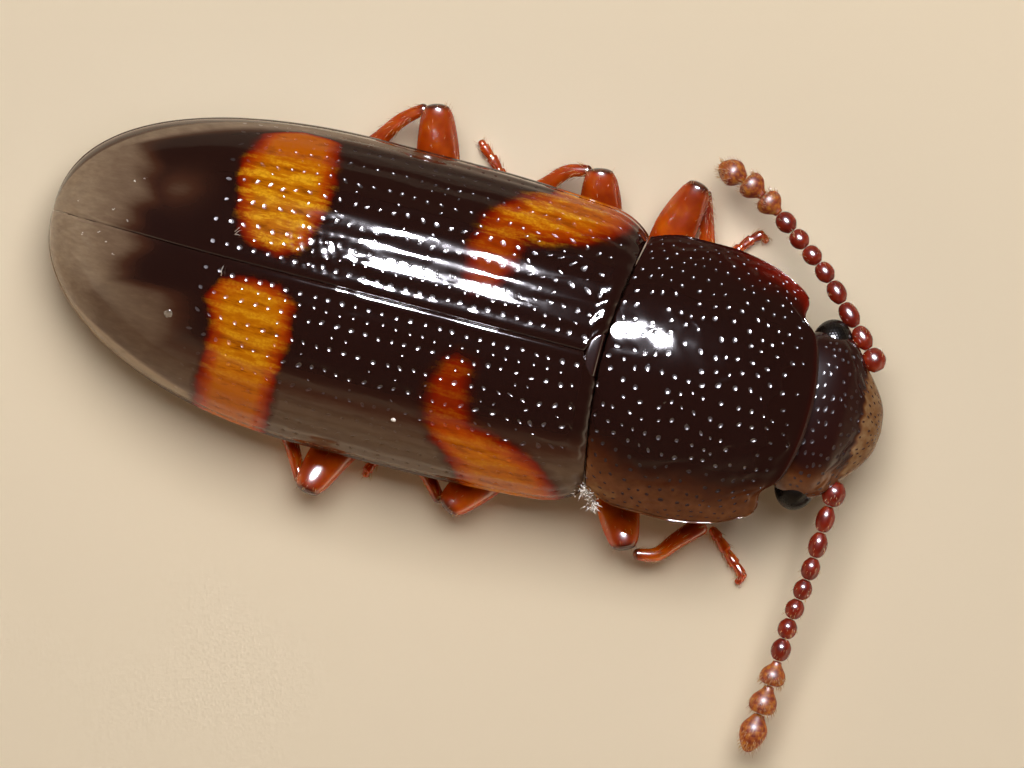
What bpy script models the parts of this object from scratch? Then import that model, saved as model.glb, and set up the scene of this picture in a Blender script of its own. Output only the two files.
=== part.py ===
# A banded fungus beetle, 5.5 mm from the tip of the wing cases to the front of the head.
# It stands on its belly and its six feet, head towards +X, its left side towards +Y.
# Every jointed piece of the body, the legs and the feelers is a solid of its own.
import math

import bmesh
import bpy
from mathutils import Vector

MM = 0.001                    # the dimensions below are in millimetres
GAP = 0.006                   # clearance kept between neighbouring pieces

# wing cases (elytra)
APEX_X = -2.907               # rear tip
BASE_X = 0.735                # front edge at the midline
BASE_SWEEP = 0.11             # the shoulders stand this much further forward
BASE_SWEEP_LENGTH = 0.8
WING_HALF_WIDTH = 1.01
REAR_TAPER = 2.0              # length of the rounded rear end
WALL = 0.05                   # thickness of a wing case
WING_SIDE = ((-0.9, 1.01), (-0.1, 1.003), (0.36, 0.978), (0.58, 0.963), (0.78, 0.907), (0.86, 0.83))
WING_TOP = ((-2.907, 0.43), (-2.75, 0.64), (-2.4, 0.88), (-1.9, 1.07), (-1.2, 1.22), (-0.5, 1.27),
            (0.2, 1.25), (0.735, 1.17))
WING_MARGIN = ((-2.907, 0.34), (-2.0, 0.40), (-0.8, 0.46), (0.9, 0.50))
DOME_POWER = 2.15             # squareness of the cross-section

# scutellum, the small shield between the wing cases
SHIELD_LENGTH = 0.105
SHIELD_HALF_WIDTH = 0.145
SHIELD_THICKNESS = 0.05
SHIELD_STATIONS = (0.0, 0.35, 0.7, 0.96)

# prothorax; its position runs from 0 at the rear edge to 1 at the front edge
THORAX_REAR_X = BASE_X + 0.012
THORAX_FRONT_X = 2.122
THORAX_FRONT_BOW = 0.19       # the front corners stand this much further back
THORAX_SIDE = ((0.0, 0.825), (0.1, 0.869), (0.21, 0.893), (0.48, 0.896), (0.6, 0.882), (0.76, 0.843),
               (0.9, 0.78), (1.0, 0.684))
THORAX_TOP = ((0.0, 1.155), (0.4, 1.15), (0.75, 1.05), (1.0, 0.91))
THORAX_MARGIN = ((0.0, 0.52), (1.0, 0.50))
THORAX_BOTTOM = ((0.0, 0.15), (0.5, 0.14), (1.0, 0.25))

# head
HEAD_FRONT_X = 2.607
HEAD_SIDE = ((2.0, 0.50), (2.29, 0.50), (2.35, 0.42), (2.42, 0.33), (2.5, 0.27), (2.56, 0.18), (2.6, 0.07))
HEAD_TOP = ((2.0, 0.88), (2.2, 0.83), (2.4, 0.73), (2.55, 0.59), (2.6, 0.52))
HEAD_BOTTOM = ((2.0, 0.25), (2.3, 0.27), (2.5, 0.36), (2.6, 0.42))
HEAD_MIDDLE = ((2.0, 0.58), (2.4, 0.52), (2.6, 0.47))
EYE_CENTRE = (2.155, 0.506, 0.64)
EYE_RADII = (0.128, 0.134, 0.16)

# underside of the middle and hind body
BELLY_FLAT_HALF_WIDTH = 0.25
BELLY_RISE_POWER = 0.9
BELLY_KEEL = ((-2.8, 0.25), (-2.4, 0.12), (-1.9, 0.04), (-1.3, 0.0), (0.45, 0.0), (0.72, 0.06))
BELLY_SPLIT_X = -0.52         # seam between the hind thorax and the abdomen
ABDOMEN_END_X = -2.80

# feelers: centre of each of the eleven beads, base first, then the free tip
FEELER_LEFT = ((2.436, 0.435), (2.338, 0.555), (2.207, 0.672), (2.097, 0.806), (1.994, 0.907),
               (1.888, 0.992), (1.783, 1.065), (1.678, 1.155), (1.560, 1.240), (1.426, 1.326),
               (1.281, 1.388), (1.162, 1.410))
FEELER_RIGHT = ((2.402, -0.459), (2.383, -0.625), (2.391, -0.806), (2.382, -0.962), (2.367, -1.101),
                (2.346, -1.231), (2.331, -1.364), (2.333, -1.499), (2.323, -1.661), (2.315, -1.828),
                (2.288, -2.047), (2.281, -2.201))
FEELER_BASE_Z = 0.56
FEELER_TIP_Z = 0.30
BEAD_WIDTHS = (0.145, 0.11, 0.115, 0.115, 0.115, 0.115, 0.118, 0.122, 0.17, 0.178, 0.18)
FEELER_NAMES = ("scape", "pedicel", "bead_3", "bead_4", "bead_5", "bead_6", "bead_7", "bead_8",
                "club_9", "club_10", "club_11")

# legs: coxa centre and radii, then the centre line of each piece with half width and half thickness
COXA_RADII = {"front": (0.11, 0.14, 0.06), "middle": (0.11, 0.09, 0.05), "hind": (0.12, 0.09, 0.05)}
LEGS = {
    "front_left": {
        "coxa": (1.08, 0.23, 0.075),
        "femur": ((1.03, 0.42, 0.11), (0.98, 0.68, 0.18), (0.995, 0.92, 0.26), (1.055, 1.15, 0.34),
                  (1.085, 1.265, 0.37)),
        "tibia": ((1.13, 1.235, 0.27), (1.20, 1.07, 0.22), (1.26, 0.89, 0.165), (1.305, 0.73, 0.10)),
        "tarsus": ((1.34, 0.765, 0.0425), (1.40, 0.88, 0.0425), (1.47, 0.98, 0.0425), (1.545, 1.05, 0.0425),
                   (1.6, 1.015, 0.03))},
    "front_right": {
        "coxa": (1.08, -0.23, 0.075),
        "femur": ((1.03, -0.42, 0.11), (1.03, -0.64, 0.18), (1.09, -0.87, 0.26), (1.165, -1.05, 0.33),
                  (1.2, -1.14, 0.35)),
        "tibia": ((1.26, -1.15, 0.25), (1.41, -1.11, 0.22), (1.515, -0.99, 0.16), (1.66, -0.835, 0.10)),
        "tarsus": ((1.705, -0.85, 0.0425), (1.79, -0.925, 0.0425), (1.88, -1.01, 0.0425),
                   (1.975, -1.10, 0.0425), (1.955, -1.165, 0.03))},
    "middle_left": {
        "coxa": (0.60, 0.46, 0.066),
        "femur": ((0.585, 0.57, 0.10), (0.55, 0.75, 0.16), (0.50, 0.95, 0.24), (0.455, 1.12, 0.31),
                  (0.44, 1.195, 0.33)),
        "tibia": ((0.39, 1.17, 0.235), (0.235, 1.125, 0.20), (0.115, 1.0, 0.145), (-0.03, 0.87, 0.09)),
        "tarsus": ((-0.075, 0.89, 0.0425), (-0.15, 0.98, 0.0425), (-0.23, 1.07, 0.0425),
                   (-0.32, 1.15, 0.0425), (-0.36, 1.19, 0.03))},
    "middle_right": {
        "coxa": (0.60, -0.46, 0.066),
        "femur": ((0.52, -0.56, 0.10), (0.36, -0.74, 0.16), (0.19, -0.94, 0.24), (0.075, -1.10, 0.30),
                  (0.025, -1.18, 0.32)),
        "tibia": ((-0.015, -1.14, 0.225), (-0.135, -1.0, 0.185), (-0.265, -0.87, 0.135),
                  (-0.37, -0.78, 0.09)),
        "tarsus": ((-0.415, -0.835, 0.0425), (-0.445, -0.89, 0.0425), (-0.49, -0.97, 0.0425),
                   (-0.525, -1.05, 0.0425), (-0.53, -1.1, 0.03))},
    "hind_left": {
        "coxa": (-0.40, 0.46, 0.066),
        "femur": ((-0.46, 0.57, 0.10), (-0.53, 0.80, 0.17), (-0.60, 1.03, 0.25), (-0.66, 1.24, 0.33),
                  (-0.682, 1.33, 0.35)),
        "tibia": ((-0.735, 1.30, 0.25), (-0.88, 1.18, 0.205), (-1.01, 1.0, 0.145), (-1.16, 0.83, 0.09)),
        "tarsus": ((-1.215, 0.825, 0.0425), (-1.34, 0.86, 0.0425), (-1.46, 0.88, 0.0425),
                   (-1.58, 0.89, 0.0425), (-1.64, 0.87, 0.03))},
    "hind_right": {
        "coxa": (-0.40, -0.46, 0.066),
        "femur": ((-0.50, -0.56, 0.10), (-0.63, -0.77, 0.17), (-0.76, -0.98, 0.25), (-0.845, -1.20, 0.32),
                  (-0.87, -1.30, 0.34)),
        "tibia": ((-0.915, -1.25, 0.24), (-1.015, -1.06, 0.195), (-1.13, -0.89, 0.14),
                  (-1.25, -0.75, 0.09)),
        "tarsus": ((-1.305, -0.75, 0.0425), (-1.43, -0.785, 0.0425), (-1.54, -0.81, 0.0425),
                   (-1.64, -0.82, 0.0425), (-1.70, -0.80, 0.03))},
}
# half width and half thickness at each point of a centre line
FEMUR_SECTION = ((0.06, 0.04), (0.11, 0.065), (0.118, 0.072), (0.095, 0.068), (0.055, 0.045))
TIBIA_SECTION = ((0.035, 0.035), (0.05, 0.042), (0.058, 0.044), (0.066, 0.04))
TARSUS_SECTION = ((0.034, 0.034), (0.046, 0.046), (0.042, 0.044), (0.042, 0.042), (0.018, 0.018))

COLOURS = {
    "cuticle": ((0.012, 0.006, 0.005, 1.0), 0.12),
    "wing_case": ((0.020, 0.009, 0.006, 1.0), 0.12),
    "leg": ((0.30, 0.045, 0.010, 1.0), 0.22),
    "feeler": ((0.26, 0.030, 0.010, 1.0), 0.22),
    "eye": ((0.006, 0.006, 0.007, 1.0), 0.25),
    "mouthpart": ((0.20, 0.035, 0.010, 1.0), 0.25),
}


def value_at(table, position):
    """Straight interpolation in a short table of (position, value) pairs."""
    if position <= table[0][0]:
        return table[0][1]
    for (start, low), (end, high) in zip(table, table[1:]):
        if position <= end:
            return low + (high - low) * (position - start) / (end - start)
    return table[-1][1]


def dome(power, share):
    """Height of the dome, 1 at the midline and 0 at the side, for a share of the half width."""
    return max(0.0, 1.0 - abs(share) ** power) ** (1.0 / power)


def wing_half_width(x):
    from_apex = (x - APEX_X) / REAR_TAPER
    if from_apex < 1.0:
        return WING_HALF_WIDTH * dome(2.1, 1.0 - max(from_apex, 0.0))
    return value_at(WING_SIDE, x)


def wing_sweep(x):
    return BASE_SWEEP * max(0.0, 1.0 - (BASE_X - x) / BASE_SWEEP_LENGTH)


def shield_half_width(x):
    along = (x - (BASE_X - SHIELD_LENGTH)) / SHIELD_LENGTH
    return SHIELD_HALF_WIDTH * math.sqrt(min(1.0, along)) if along > 0.0 else 0.0


def make_material(name):
    colour, roughness = COLOURS[name]
    material = bpy.data.materials.new(name)
    material.use_nodes = True
    shader = material.node_tree.nodes["Principled BSDF"]
    shader.inputs["Base Color"].default_value = colour
    shader.inputs["Roughness"].default_value = roughness
    shader.inputs["Metallic"].default_value = 0.0
    return material


def add_solid(name, bm, material):
    """Turn a bmesh in millimetres into a named object in metres."""
    bmesh.ops.scale(bm, vec=(MM, MM, MM), verts=bm.verts)
    bmesh.ops.recalc_face_normals(bm, faces=bm.faces)
    mesh = bpy.data.meshes.new(name)
    bm.to_mesh(mesh)
    bm.free()
    mesh.shade_smooth()
    mesh.set_sharp_from_angle(angle=math.radians(50))
    mesh.materials.append(material)
    body = bpy.data.objects.new(name, mesh)
    bpy.context.scene.collection.objects.link(body)
    return body


def join_rings(bm, rings):
    """Quads between neighbouring closed rings of vertices."""
    for lower, upper in zip(rings, rings[1:]):
        count = len(lower)
        for i in range(count):
            j = (i + 1) % count
            bm.faces.new((lower[i], lower[j], upper[j], upper[i]))


def loft(rings):
    """Closed solid through rings of points, with a flat lid at each end."""
    bm = bmesh.new()
    vert_rings = [[bm.verts.new(point) for point in ring] for ring in rings]
    join_rings(bm, vert_rings)
    bm.faces.new(vert_rings[0])
    bm.faces.new(vert_rings[-1])
    return bm


def limb(points, sections, sides):
    """Closed solid along a centre line, with an oval section at each point."""
    path = [Vector(point) for point in points]
    rings = []
    for i, centre in enumerate(path):
        along = (path[min(i + 1, len(path) - 1)] - path[max(i - 1, 0)]).normalized()
        across = along.cross(Vector((0, 0, 1))).normalized()
        upward = across.cross(along)
        half_width, half_thickness = sections[i]
        ring = []
        for k in range(sides):
            angle = 2 * math.pi * (k + 0.5) / sides
            ring.append(centre + across * half_width * math.cos(angle)
                        + upward * half_thickness * math.sin(angle))
        rings.append(ring)
    return loft(rings)


def ellipsoid(centre, radii, segments=10, rings=6):
    bm = bmesh.new()
    bmesh.ops.create_uvsphere(bm, u_segments=segments, v_segments=rings, radius=1.0)
    bmesh.ops.scale(bm, vec=radii, verts=bm.verts)
    bmesh.ops.translate(bm, vec=centre, verts=bm.verts)
    return bm


def wing_point(x, share, side, inset):
    """Point on a wing case's dome, or the given depth inside it."""
    sweep = wing_sweep(x)
    half_width = wing_half_width(x + sweep) - inset
    inner_edge = max(GAP / 2, shield_half_width(x) + GAP if x > BASE_X - SHIELD_LENGTH else 0.0)
    margin_z = value_at(WING_MARGIN, x)
    top_z = value_at(WING_TOP, x) - inset
    y = inner_edge + (half_width - inner_edge) * share
    z = margin_z + (top_z - margin_z) * dome(DOME_POWER, y / half_width)
    return Vector((x + sweep * share * share, side * y, z))


def wing_case(side):
    stations = [BASE_X - SHIELD_LENGTH * share for share in SHIELD_STATIONS]
    stations += [BASE_X - SHIELD_LENGTH, 0.45, 0.15, -0.3, -0.8, -1.3, -1.75, -2.1, -2.4, -2.62, -2.78,
                 -2.86, APEX_X + 0.012]
    shares = [math.sin(math.pi / 2 * k / 9) for k in range(10)]
    bm = bmesh.new()
    rings = []
    for x in stations:
        inset = min(WALL, 0.4 * wing_half_width(x))
        outer = [wing_point(x, share, side, 0.0) for share in shares]
        inner = [wing_point(x, share, side, inset) for share in reversed(shares)]
        rings.append([bm.verts.new(point) for point in outer + inner])
    join_rings(bm, rings)
    count = len(shares)
    for ring in (rings[0], rings[-1]):
        for k in range(count - 1):
            bm.faces.new((ring[k], ring[k + 1], ring[2 * count - 2 - k], ring[2 * count - 1 - k]))
    return bm


def shield():
    rings = []
    for share in SHIELD_STATIONS:
        x = BASE_X - SHIELD_LENGTH * share
        half_width = shield_half_width(x)
        top = value_at(WING_TOP, x) + 0.004
        rings.append([Vector((x, y, z)) for y, z in (
            (-half_width, top - 0.012), (0.0, top), (half_width, top - 0.012),
            (half_width, top - SHIELD_THICKNESS), (-half_width, top - SHIELD_THICKNESS))])
    return loft(rings)


def trunk_ring(x):
    """Cross-section of the soft trunk that the wing cases cover, with the plated belly below."""
    inset = WALL + 2 * GAP
    half_width = wing_half_width(x) - inset
    top_z = value_at(WING_TOP, x) - inset - 0.02
    margin_z = value_at(WING_MARGIN, x) - 0.02
    keel_z = value_at(BELLY_KEEL, x)
    flat = min(BELLY_FLAT_HALF_WIDTH, 0.5 * half_width)
    ring = []
    for k in range(11):
        share = math.sin(math.pi * (k / 10 - 0.5))
        ring.append(Vector((x, half_width * share, margin_z + (top_z - margin_z) * dome(DOME_POWER, share))))
    belly = [half_width - (half_width - flat) * step for step in (0.3, 0.65, 1.0)]
    for y in belly + [-y for y in reversed(belly)]:
        rise = ((abs(y) - flat) / (half_width - flat)) ** BELLY_RISE_POWER
        ring.append(Vector((x, y, keel_z + (margin_z - keel_z) * rise)))
    return ring


def thorax_x(position, share):
    """Distance forward of a point of the prothorax, for a share of its half width."""
    rear = THORAX_REAR_X + BASE_SWEEP * share * share
    front = THORAX_FRONT_X - THORAX_FRONT_BOW * abs(share) ** 2.2
    return rear + (front - rear) * position


def prothorax():
    rings = []
    for position in (0.0, 0.05, 0.12, 0.25, 0.42, 0.58, 0.72, 0.84, 0.93, 1.0):
        half_width = value_at(THORAX_SIDE, position)
        top_z = value_at(THORAX_TOP, position)
        margin_z = value_at(THORAX_MARGIN, position)
        bottom_z = value_at(THORAX_BOTTOM, position)
        ring = []
        for k in range(17):
            share = math.sin(math.pi * (k / 16 - 0.5))
            ring.append(Vector((thorax_x(position, share), half_width * share,
                                margin_z + (top_z - margin_z) * dome(DOME_POWER, share))))
        for share in (0.93, 0.7, 0.45, 0.2, -0.2, -0.45, -0.7, -0.93):
            ring.append(Vector((thorax_x(position, share), half_width * share,
                                bottom_z + (margin_z - 0.05 - bottom_z) * abs(share) ** 1.6)))
        rings.append(ring)
    return loft(rings)


def head_rear_x(y):
    """Rear face of the head, which follows the front edge of the prothorax."""
    front_half_width = value_at(THORAX_SIDE, 1.0)
    return thorax_x(1.0, y / front_half_width) + GAP


def head():
    rings = []
    for step, x in enumerate((2.0, 2.2, 2.29, 2.35, 2.42, 2.5, 2.56, 2.6)):
        half_width = value_at(HEAD_SIDE, x)
        top_z = value_at(HEAD_TOP, x)
        bottom_z = value_at(HEAD_BOTTOM, x)
        middle_z = value_at(HEAD_MIDDLE, x)
        ring = []
        for k in range(20):
            angle = 2 * math.pi * k / 20
            y = half_width * math.cos(angle)
            up = math.sin(angle)
            z = middle_z + up * ((top_z - middle_z) if up > 0 else (middle_z - bottom_z))
            rear = head_rear_x(y)
            ring.append(Vector((rear if step == 0 else max(x, rear + 0.03 * step), y, z)))
        rings.append(ring)
    return loft(rings)


def eye(side):
    """Half ellipsoid with its flat face against the head."""
    bm = ellipsoid((0, 0, 0), EYE_RADII, segments=14, rings=10)
    bmesh.ops.bisect_plane(bm, geom=bm.verts[:] + bm.edges[:] + bm.faces[:], plane_co=(0, 0, 0),
                           plane_no=(0, -side, 0), clear_outer=True)
    bmesh.ops.holes_fill(bm, edges=[edge for edge in bm.edges if edge.is_boundary], sides=0)
    x, y, z = EYE_CENTRE
    bmesh.ops.translate(bm, vec=(x, side * y, z), verts=bm.verts)
    return bm


def feeler_bead(path, index):
    """One bead of a feeler: narrow at its base, widest past the middle."""
    count = len(BEAD_WIDTHS)
    points = [Vector((x, y, FEELER_BASE_Z + (FEELER_TIP_Z - FEELER_BASE_Z) * i / count))
              for i, (x, y) in enumerate(path)]
    centre = points[index]
    ahead = points[index + 1]
    behind = points[index - 1] if index else centre - (ahead - centre)
    start = behind.lerp(centre, 0.5)
    end = centre.lerp(ahead, 0.5)
    if index == count - 1:
        end = ahead
    along = (end - start).normalized()
    start += along * GAP / 2
    end -= along * GAP / 2
    half = BEAD_WIDTHS[index] / 2
    profile = ((0.0, 0.35), (0.14, 0.55), (0.42, 0.93), (0.66, 1.0), (0.88, 0.72), (1.0, 0.35))
    if index == count - 1:
        profile = ((0.0, 0.3), (0.1, 0.62), (0.32, 1.0), (0.6, 0.92), (0.85, 0.5), (1.0, 0.15))
    stops = [start.lerp(end, step) for step, _ in profile]
    return limb(stops, [(half * size, half * size) for _, size in profile], 8)


def labrum():
    return limb(((2.47, 0, 0.315), (2.52, 0, 0.34), (2.572, 0, 0.37)),
                ((0.12, 0.02), (0.125, 0.022), (0.09, 0.015)), 8)


def mandible(side):
    points = ((2.38, side * 0.20, 0.275), (2.46, side * 0.205, 0.30), (2.53, side * 0.168, 0.312),
              (2.575, side * 0.09, 0.30))
    return limb(points, ((0.06, 0.048), (0.055, 0.045), (0.038, 0.03), (0.012, 0.012)), 6)


def palp(side):
    points = ((2.30, side * 0.15, 0.245), (2.38, side * 0.19, 0.185), (2.46, side * 0.20, 0.17),
              (2.53, side * 0.18, 0.175))
    return limb(points, ((0.022, 0.022), (0.03, 0.03), (0.034, 0.034), (0.016, 0.016)), 6)


def build():
    for leftover in list(bpy.data.objects):
        bpy.data.objects.remove(leftover)
    look = {name: make_material(name) for name in COLOURS}

    add_solid("head", head(), look["cuticle"])
    add_solid("prothorax", prothorax(), look["cuticle"])
    add_solid("scutellum", shield(), look["cuticle"])
    thorax_stations = (0.725, 0.6, 0.45, 0.1, -0.25, BELLY_SPLIT_X + GAP)
    abdomen_stations = (BELLY_SPLIT_X, -0.9, -1.3, -1.65, -1.95, -2.2, -2.42, -2.6, ABDOMEN_END_X)
    add_solid("metathorax", loft([trunk_ring(x) for x in thorax_stations]), look["cuticle"])
    add_solid("abdomen", loft([trunk_ring(x) for x in abdomen_stations]), look["cuticle"])
    add_solid("labrum", labrum(), look["mouthpart"])
    for word, side in (("left", 1), ("right", -1)):
        add_solid("elytron_" + word, wing_case(side), look["wing_case"])
        add_solid("eye_" + word, eye(side), look["eye"])
        add_solid("mandible_" + word, mandible(side), look["mouthpart"])
        add_solid("palp_" + word, palp(side), look["mouthpart"])
        path = FEELER_LEFT if side > 0 else FEELER_RIGHT
        for index, bead_name in enumerate(FEELER_NAMES):
            add_solid("antenna_" + word + "_" + bead_name, feeler_bead(path, index), look["feeler"])
    for leg_name, leg in LEGS.items():
        pair = leg_name.split("_")[0]
        add_solid("coxa_" + leg_name, ellipsoid(leg["coxa"], COXA_RADII[pair], 8, 6), look["leg"])
        add_solid("femur_" + leg_name, limb(leg["femur"], FEMUR_SECTION, 10), look["leg"])
        add_solid("tibia_" + leg_name, limb(leg["tibia"], TIBIA_SECTION, 8), look["leg"])
        add_solid("tarsus_" + leg_name, limb(leg["tarsus"], TARSUS_SECTION, 8), look["leg"])


build()
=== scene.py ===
import math
from functools import partial

import bpy
import numpy as np
from mathutils import Matrix, Vector


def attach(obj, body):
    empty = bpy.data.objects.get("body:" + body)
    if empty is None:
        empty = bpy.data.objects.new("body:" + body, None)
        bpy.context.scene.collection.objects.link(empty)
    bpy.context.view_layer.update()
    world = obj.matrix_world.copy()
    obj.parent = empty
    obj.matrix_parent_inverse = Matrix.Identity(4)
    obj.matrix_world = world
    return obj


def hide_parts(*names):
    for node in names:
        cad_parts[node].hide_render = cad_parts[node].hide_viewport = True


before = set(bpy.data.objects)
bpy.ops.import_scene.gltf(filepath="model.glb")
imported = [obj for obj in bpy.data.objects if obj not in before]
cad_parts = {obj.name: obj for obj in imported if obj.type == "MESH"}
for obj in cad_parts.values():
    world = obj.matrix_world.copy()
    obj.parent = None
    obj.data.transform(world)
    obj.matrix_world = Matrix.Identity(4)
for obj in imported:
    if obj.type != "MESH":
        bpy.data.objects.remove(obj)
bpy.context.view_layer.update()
mm = 0.001  # shapes below are worked out in millimetres
dice = np.random.default_rng(7)  # the only source of chance, always started alike


def deselectAll():
    if bpy.context.object and bpy.context.object.mode != "OBJECT":
        bpy.ops.object.mode_set(mode="OBJECT")
    for other in bpy.context.selected_objects:
        other.select_set(False)


def pick(piece):
    deselectAll()
    piece.select_set(True)
    bpy.context.view_layer.objects.active = piece


def linear(hexColour):
    parts = [int(hexColour[i:i + 2], 16) / 255 for i in (1, 3, 5)]
    return tuple(c / 12.92 if c <= 0.04045 else ((c + 0.055) / 1.055) ** 2.4 for c in parts) + (1.0,)


def addNode(tree, kind, settings=None, links=None):
    made = tree.nodes.new("ShaderNode" + kind)
    for name, value in (settings or {}).items():
        if name == "stops":  # colour ramp: (place, colour) pairs
            ramp = made.color_ramp
            while len(ramp.elements) < len(value):
                ramp.elements.new(0.5)
            for element, (place, colour) in zip(ramp.elements, value):
                element.position = place
                element.color = linear(colour)
        elif isinstance(name, str) and hasattr(made, name):
            setattr(made, name, value)
        else:
            made.inputs[name].default_value = value
    for name, source in (links or {}).items():  # a source is a socket, or a node for its first output
        tree.links.new(getattr(source, "outputs", [source])[0], made.inputs[name])
    return made


def newMaterial(name):
    material = bpy.data.materials.new(name)
    material.use_nodes = True
    material.node_tree.nodes.clear()
    return material, partial(addNode, material.node_tree)


def getPoints(piece):
    flat = np.empty(len(piece.data.vertices) * 3)
    piece.data.vertices.foreach_get("co", flat)
    return flat.reshape(-1, 3)


def setPoints(piece, points):
    piece.data.vertices.foreach_set("co", points.astype(np.float32).ravel())
    piece.data.update()


def addAttributes(piece, **marks):
    # values at the points, one for each point or one for all, which the materials read
    for name, values in marks.items():
        layer = piece.data.attributes.new(name, "FLOAT", "POINT")
        spread = np.broadcast_to(values, len(piece.data.vertices))
        layer.data.foreach_set("value", spread.astype(np.float32))


def startPiece(name, primitive, **settings):
    deselectAll()
    primitive(**settings)
    bpy.context.object.name = name
    return bpy.context.object


def turnOutward(piece):
    pick(piece)
    bpy.ops.object.mode_set(mode="EDIT")
    bpy.ops.mesh.select_all(action="SELECT")
    bpy.ops.mesh.normals_make_consistent(inside=False)
    bpy.ops.object.mode_set(mode="OBJECT")


def ease(low, high, x):
    t = np.clip((x - low) / (high - low), 0, 1)
    return t * t * (3 - 2 * t)


def dome(power, share):
    return np.maximum(0, 1 - np.abs(share) ** power) ** (1 / power)


def bump(x, centre, width):
    return np.exp(-((x - centre) / width) ** 2)


def ripple(p, q):
    # a fine uneven swell
    return sum(np.sin(a * p + b * q + a) for a, b in ((3.8, 2.1), (1.7, -4.4), (3.1, 0.8), (-0.9, 4.9)))


def unit(vectors):
    return vectors / np.linalg.norm(vectors, axis=-1, keepdims=True)


def curveAt(table, x):
    # smooth curve without overshoot through (position, value) pairs
    xs, ys = np.array(table, dtype=float).T
    h = np.diff(xs)
    slope = np.diff(ys) / h
    left, right = slope[:-1], slope[1:]
    middle = np.where(left * right > 0, 2 * left * right / (left + right + 1e-12), 0)
    tangent = np.concatenate(([slope[0]], middle, [slope[-1]]))
    x = np.clip(x, xs[0], xs[-1])
    i = np.clip(np.searchsorted(xs, x) - 1, 0, len(h) - 1)
    t = (x - xs[i]) / h[i]
    return ((1 + 2 * t) * (1 - t) ** 2 * ys[i] + t * (1 - t) ** 2 * h[i] * tangent[i]
            + t * t * (3 - 2 * t) * ys[i + 1] + t * t * (t - 1) * h[i] * tangent[i + 1])


def alongPath(points, place):
    # smooth line through evenly counted points, at places from 0 to 1
    keys = np.asarray(points, dtype=float)
    last = len(keys) - 1
    place = np.clip(place, 0, 1) * last
    i = np.clip(place.astype(int), 0, last - 1)
    f = (place - i)[:, None] if keys.ndim > 1 else place - i
    before = 2 * keys[0] - keys[1]
    after = 2 * keys[-1] - keys[-2]
    padded = np.concatenate(([before], keys, [after]))
    a, b, c, d = (padded[i + k] for k in range(4))
    square, cube = 2 * a - 5 * b + 4 * c - d, 3 * b - a - 3 * c + d
    return 0.5 * (2 * b + (c - a) * f + square * f ** 2 + cube * f ** 3)


def frameAlong(path, place, step):
    # points on a path, with the directions forward, across and above there
    ahead, behind = (alongPath(path, np.clip(place + shift, 0, 1)) for shift in (step, -step))
    forward = unit(ahead - behind)
    across = unit(np.cross(forward, (0.0, 0.0, 1.0)))
    return alongPath(path, place), forward, across, np.cross(across, forward)


def finishPiece(piece, material, replaced=()):
    piece.data.materials.clear()
    piece.data.materials.append(material)
    pick(piece)
    bpy.ops.object.shade_smooth()
    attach(piece, "root")
    if replaced:
        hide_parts(*replaced)
    deselectAll()
    return piece


def turnedTo(across, upward, towards):
    return Matrix((across, upward, towards)).transposed().to_quaternion()


view = {"target": (0.000234, -0.000298, 0.0006), "distance": 0.060, "widthSeen": 0.00654,
        "turn": math.radians(14.6), "lean": math.radians(1.7)}
cameraData = bpy.data.cameras.new("camera")
camera = bpy.data.objects.new("camera", cameraData)
bpy.context.scene.collection.objects.link(camera)
cameraData.sensor_width = 36
cameraData.lens = 36 * view["distance"] / view["widthSeen"]
cameraData.clip_start = 0.001
cameraData.clip_end = 2.0
lean = Vector((0, -math.sin(view["lean"]), math.cos(view["lean"])))
camera.location = Vector(view["target"]) + view["distance"] * lean
upward = Vector((math.cos(view["turn"]), math.sin(view["turn"]), 0)).cross(-lean).normalized()
camera.rotation_mode = "QUATERNION"
camera.rotation_quaternion = turnedTo((-lean).cross(upward), upward, lean)
bpy.context.scene.camera = camera
bpy.context.scene.view_settings.view_transform = "Standard"


def addSoftbox(name, direction, size, power, colour, lights, across=(1, 0, 0), distance=0.030):
    data = bpy.data.lights.new(name, "AREA")
    data.shape = "RECTANGLE"
    data.size, data.size_y = size
    data.energy = power
    data.color = linear(colour)[:3]
    lamp = bpy.data.objects.new(name, data)
    bpy.context.scene.collection.objects.link(lamp)
    towards = Vector(direction).normalized()
    lamp.location = Vector((0, 0, 0.0006)) + towards * distance
    sideways = (Vector(across) - towards * towards.dot(Vector(across))).normalized()
    lamp.rotation_mode = "QUATERNION"
    lamp.rotation_quaternion = turnedTo(sideways, towards.cross(sideways), towards)
    lamp.visible_camera = False
    lamp.visible_diffuse = lights == "diffuse"
    lamp.visible_glossy = lights == "gloss"


# a wide soft lamp lights the colours, two small bright ones make the shine on the back
addSoftbox("keySoftbox", (-0.03, 0.42, 1.0), (0.024, 0.020), 0.0092, "#ffffff", "diffuse")
addSoftbox("shineRear", (-0.100, 0.47, 1.0), (0.0035, 0.0043), 0.135, "#f6f4ff", "gloss", distance=0.0298)
addSoftbox("shineFront", (0.103, 0.47, 1.0), (0.0020, 0.0038), 0.066, "#f6f4ff", "gloss", distance=0.0298)
addSoftbox("frontSoftbox", (1.0, -0.45, 0.02), (0.030, 0.012), 0.0030, "#f6e2c2", "gloss", across=(0, 1, 0))
world = bpy.data.worlds.new("dimRoom")  # dark overhead, pale low down except behind the key lamp
bpy.context.scene.world = world
world.use_nodes = True
add = partial(addNode, world.node_tree)
around = add("TexCoord").outputs["Generated"]
heading = add("SeparateXYZ", None, {0: around})
height = add("ValToRGB", {"stops": [
    (0.0, "#e6d2b4"), (0.30, "#c4ad8c"), (0.52, "#4a3c32"), (0.66, "#241b1a"), (1.0, "#1e1516")]},
    {0: heading.outputs["Z"]})
lampSide = add("MapRange", {"From Min": 0.45, "From Max": -0.10, "To Min": 0.16, "To Max": 1.5},
               {0: heading.outputs["Y"]})
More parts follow.
